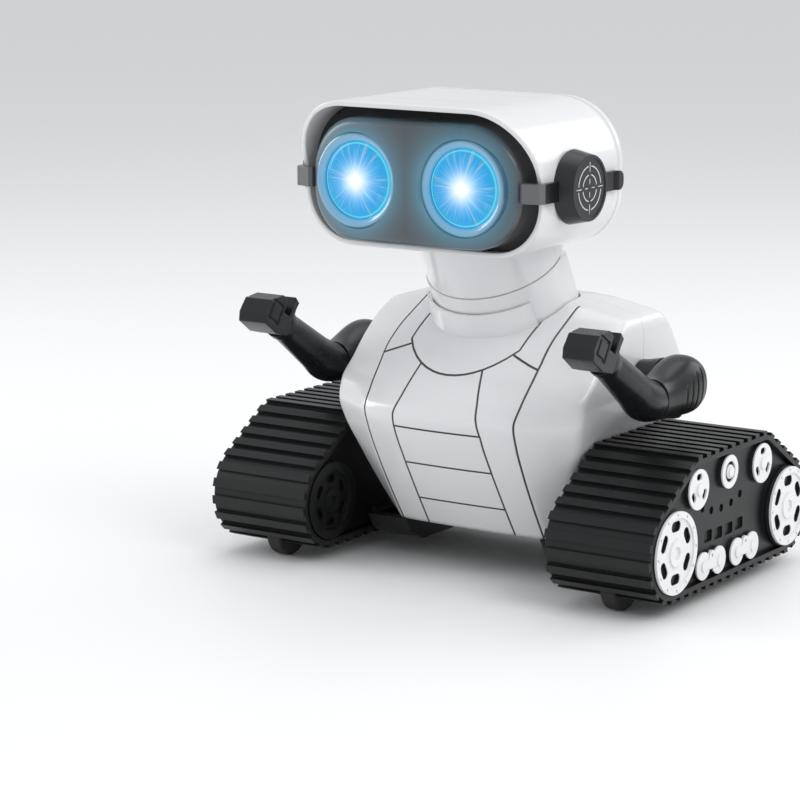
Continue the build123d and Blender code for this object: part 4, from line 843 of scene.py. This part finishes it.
def build_upper_arm(side, name):
    """Teardrop upper arm, fat at the shoulder, grooved down its outer rear, with a cap underneath."""
    steps_y, steps_round, sweep = 220, 64, pi * 0.88

    def clamped(value):
        return max(0.0, min(1.0, value))

    def squared(value):
        return abs(value) ** ARM_SQUARENESS * (1 if value > 0 else -1)
    rings = []
    for step in range(steps_y + 1):
        along = (0.5 - 0.5 * cos(sweep * step / steps_y)) / (0.5 - 0.5 * cos(sweep))
        y = ARM_REAR + (ARM_FRONT - ARM_REAR) * along
        tall, wide, middle = arm_section(y)
        place = (ARM_REAR - RIB_START - y) / RIB_PITCH
        groove_top = 0.85 - 0.13 * round(place)     # the grooves' upper ends rise towards the rear
        near = abs(place - round(place)) * RIB_PITCH
        groove = max(0.0, 1 - (near / RIB_HALF_W) ** 4) if -0.5 < place < RIB_COUNT - 0.5 else 0.0
        ring = []
        for turn in range(steps_round):
            angle = 2 * pi * turn / steps_round
            shown = clamped((cos(angle) + 0.1) * 3) * clamped((groove_top - sin(angle)) * 6)
            shrink = 1 - groove * shown * RIB_DEPTH / max(wide, 3.0)
            ring.append((side * (ARM_X + squared(cos(angle)) * wide * shrink), y,
                         middle + squared(sin(angle)) * tall * shrink))
        rings.append(ring)
    body = f"upper_arm_{name}"
    arm = piece(f"upper_arm_{name}_look", *rings_to_mesh(rings), ARM, body, "arm_plastic")
    soften(arm, 50)
    cap = lathe(f"arm_cap_{name}", (side * ARM_X, CAP_Y, CAP_Z), (0, 0, -1),
                [(0.01, 2.1), (3.4, 2.0), (4.1, 1.3), (4.3, 0.0), (4.3, -3.0), (0.01, -3.0)],
                ARM, body, "arm_plastic", steps=40)
    soften(cap)
    hub = lathe(f"arm_hub_{name}", (side * HUB_X, SHOULDER_Y, SHOULDER_Z), (side, 0, 0),
                [(0.01, -7), (4.9, -7), (4.9, 0), (7.6, 0), (8.0, 0.4), (8.4, 4.0), (9.6, 10.0),
                 (0.01, 10.0)], ARM, body, "arm_plastic", steps=48)
    soften(hub)
    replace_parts(arm, f"upper_arm_{name}")


ELBOW_BEND, FOREARM_GAP = 15.0, 0.35        # radius that the elbow turns on, and the gap at its joint
ELBOW_R, WRIST_R, ELBOW_SWELL = 8.75, 6.2, 0.5
CUFF_R, CUFF_GROOVE_R, CUFF_LENGTH, CUFF_GROOVE_LENGTH = 7.05, 6.35, 4.2, 4.6


def forearm_path():
    """Centres and headings along the forearm: an arc at the elbow, then straight to the wrist."""
    start = ELBOW + Vector((0, -FOREARM_GAP, 0))
    centres, headings = [], []
    for step in range(13):
        angle = WRIST_TILT * step / 12
        centres.append(start + Vector((0, -sin(angle), 1 - cos(angle))) * ELBOW_BEND)
        headings.append(angle)
    goal = WRIST - Vector((0, -cos(WRIST_TILT), sin(WRIST_TILT))) * 0.4
    corner = centres[-1].copy()
    for step in range(1, 25):
        centres.append(corner.lerp(goal, step / 24))
        headings.append(WRIST_TILT)
    return centres, headings


def build_forearm(side, name):
    """Forearm curving up from the elbow, tapering to a cuff at the wrist."""
    centres, headings = forearm_path()
    lengths = [0.0]
    for before, after in zip(centres, centres[1:]):
        lengths.append(lengths[-1] + (after - before).length)
    total = lengths[-1]
    turns = [2 * pi * i / 48 for i in range(48)]
    rings = []

    def add_ring(centre, heading, radius):
        out, up = Vector((1, 0, 0)), Vector((0, sin(heading), cos(heading)))
        ring = [centre + out * radius * cos(a) + up * radius * sin(a) for a in turns]
        rings.append([Vector((side * p.x, p.y, p.z)) for p in ring])
    add_ring(centres[0], 0, 0.2)
    add_ring(centres[0], 0, 8.0)
    for centre, heading, length in zip(centres, headings, lengths):
        share = length / total
        radius = ELBOW_R - (ELBOW_R - WRIST_R) * share**1.1
        if share < 0.31:
            radius += ELBOW_SWELL * sin(pi * min(1.0, share * 3.2))
        if total - length < CUFF_GROOVE_LENGTH:
            radius = CUFF_R if total - length < CUFF_LENGTH else CUFF_GROOVE_R
        add_ring(centre, heading, radius)
    add_ring(centres[-1], WRIST_TILT, 3.2)
    add_ring(centres[-1] + Vector((0, cos(WRIST_TILT), -sin(WRIST_TILT))) * 6, WRIST_TILT, 3.2)
    arm = piece(f"forearm_{name}_look", *rings_to_mesh(rings), ARM, f"forearm_{name}", "arm_plastic")
    soften(arm, 40)
    pin = lathe(f"elbow_pin_{name}", (side * ELBOW.x, ELBOW.y, ELBOW.z), (0, 1, 0),
                [(0.01, -2), (3.9, -2), (3.9, 7.0), (0.01, 7.0)], ARM, f"forearm_{name}", "arm_plastic",
                steps=32)
    soften(pin)
    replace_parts(arm, f"forearm_{name}")


CLAW_OUTLINE = [(0.0, -6.0), (8.0, -8.5), (17.5, -7.8), (19.2, -4.0), (18.2, 2.8), (11.5, 8.0),
                (7.6, 7.4), (7.6, 1.6), (2.8, 1.6), (3.0, 10.8), (-0.6, 9.6), (0.0, 6.4)]
CLAW_HALF_T, CLAW_ROUNDING = 7.2, 0.75
PANEL_MIDDLE, PANEL_DEPTH = (12.8, -0.6), 0.8


def build_claw(side, name):
    """Two-jawed claw with rounded edges and a sunk panel on each side."""
    out = Vector((0, -cos(WRIST_TILT), sin(WRIST_TILT)))
    up = Vector((0, sin(WRIST_TILT), cos(WRIST_TILT)))

    def layer(loop, across):
        return [Vector((side * (ARM_X + across), 0, 0)) + Vector((0, WRIST.y, WRIST.z)) + out * u + up * v
                for u, v in loop]
    sides = [layer(CLAW_OUTLINE, across) for across in (-CLAW_HALF_T, CLAW_HALF_T)]
    claw = piece(f"claw_{name}_look", *rings_to_mesh(sides), ARM, None, None)
    for across in (CLAW_HALF_T, -CLAW_HALF_T):
        outer, inner = ([(PANEL_MIDDLE[0] + u, PANEL_MIDDLE[1] + v)
                         for u, v in ((-half_u, -half_v), (half_u, -half_v), (half_u, half_v),
                                      (-half_u, half_v))]
                        for half_u, half_v in ((4.2, 4.7), (2.8, 3.3)))
        low, high = across - PANEL_DEPTH, across + PANEL_DEPTH
        rings = [layer(outer, low), layer(outer, high), layer(inner, high), layer(inner, low)]
        cut(claw, piece("claw_recess", *rings_to_mesh(rings, joined=True), ARM, None, None))
    rounding = claw.modifiers.new("rounding", "BEVEL")
    rounding.width, rounding.segments = CLAW_ROUNDING * MM, 3
    rounding.limit_method, rounding.angle_limit = "ANGLE", radians(25)
    rounding.harden_normals = True
    apply_modifiers(claw)
    pin = lathe(f"claw_pin_{name}", (side * ARM_X, WRIST.y, WRIST.z), out,
                [(0.01, -5.4), (3.0, -5.4), (3.0, 1.0), (0.01, 1.0)], ARM, f"claw_{name}", "arm_plastic",
                steps=32)
    soften(pin)
    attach(claw, f"claw_{name}")
    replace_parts(claw, f"claw_{name}")


# ---------------------------------------------------------------- CAD nodes that keep their shape
FINISHES = {
    "neck_base": WHITE, "neck_collar": WHITE, "neck_column": WHITE, "neck_retainer": BLACK,
    "track_shell": TRACK, "outer_panel": BLACK, "inner_panel": BLACK, "hub_discs": HUB_WHITE,
    "upper_wheels": WHEEL_WHITE, "roller_links": LINK_WHITE, "inner_wheels": BLACK,
    "chassis_hull": BLACK, "battery_door": BLACK, "switch_knob": BLACK, "switch_body": BLACK,
    "temple_strap": STRAP, "ear_disc": EAR_FACE,
    "front_wheel": RUBBER, "rear_wheel": RUBBER, "idler_gear": NYLON, "motor_pinion": NYLON,
    "drive_motor": STEEL, "gearbox_plate": BLACK, "front_axle_pins": STEEL, "torso_screws": STEEL,
    "door_screws": STEEL, "charging_socket": STEEL, "eye_board": BOARD, "main_board": BOARD,
    "battery_pack": WRAP, "speaker": CONE,
}


def finish_cad_nodes():
    """Give every CAD node that stays its own material."""
    for name, node in NODES.items():
        base = name.replace("_left", "").replace("_right", "")
        if base in FINISHES:
            for slot in node.material_slots:
                slot.material = FINISHES[base]


# ---------------------------------------------------------------- floor, light and camera
def studio():
    """Pale floor, soft lights, bright surroundings and the camera."""
    floor_look, tree, shader = material("floor_paper", (0.9, 0.9, 0.9), 0.55)
    place = add_node(tree, "TexCoord").outputs["Object"]
    fibre = add_node(tree, "TexNoise", [("Vector", place)], Scale=700.0, Detail=3.0)
    tone = mix_colours(tree, fibre.outputs["Fac"], (0.88, 0.88, 0.885), (0.91, 0.91, 0.91))
    tree.links.new(tone, shader.inputs["Base Color"])
    reach = 4000
    corners = [(-reach, -reach, 0), (reach, -reach, 0), (reach, reach, 0), (-reach, reach, 0)]
    floor = piece("floor", corners, [(0, 1, 2, 3)], floor_look, None, None)

    world = bpy.data.worlds.new("studio")
    world.use_nodes = True
    world.node_tree.nodes["Background"].inputs["Color"].default_value = (0.93, 0.95, 0.97, 1)
    world.node_tree.nodes["Background"].inputs["Strength"].default_value = 0.74
    bpy.context.scene.world = world

    for name, place, aim_z, size, power in (
            ("key", (0.95, -0.25, 0.95), 0.1, 0.7, 5.5),
            ("fill", (-1.15, -0.45, 0.45), 0.1, 0.6, 5.0),
            ("top", (-0.1, 0.25, 1.2), 0.1, 0.9, 3.0),
            ("rim", (0.5, 0.9, 0.6), 0.12, 0.6, 2.0)):
        lamp = bpy.data.lights.new(name, "AREA")
        lamp.shape, lamp.size, lamp.energy = "SQUARE", size, power
        holder = bpy.data.objects.new(name, lamp)
        holder.location = place
        holder.rotation_euler = (Vector(place) - Vector((0, 0, aim_z))).to_track_quat("Z", "Y").to_euler()
        bpy.context.scene.collection.objects.link(holder)

    lens = bpy.data.cameras.new("camera")
    lens.lens, lens.sensor_width = CAMERA_LENS, CAMERA_SENSOR
    camera = bpy.data.objects.new("camera", lens)
    camera.location = CAMERA_PLACE
    camera.rotation_euler = CAMERA_BACK.to_track_quat("Z", "Y").to_euler()
    bpy.context.scene.collection.objects.link(camera)
    bpy.context.scene.camera = camera
    bpy.context.scene.view_settings.view_transform = "Standard"


studio()
build_torso()
build_hood()
build_rear_cover()
build_visor()
for hand, hand_name in ((1, "left"), (-1, "right")):
    build_eye(hand, hand_name)
    build_ear_mark(hand, hand_name)
    build_upper_arm(hand, hand_name)
    build_forearm(hand, hand_name)
    build_claw(hand, hand_name)
finish_cad_nodes()
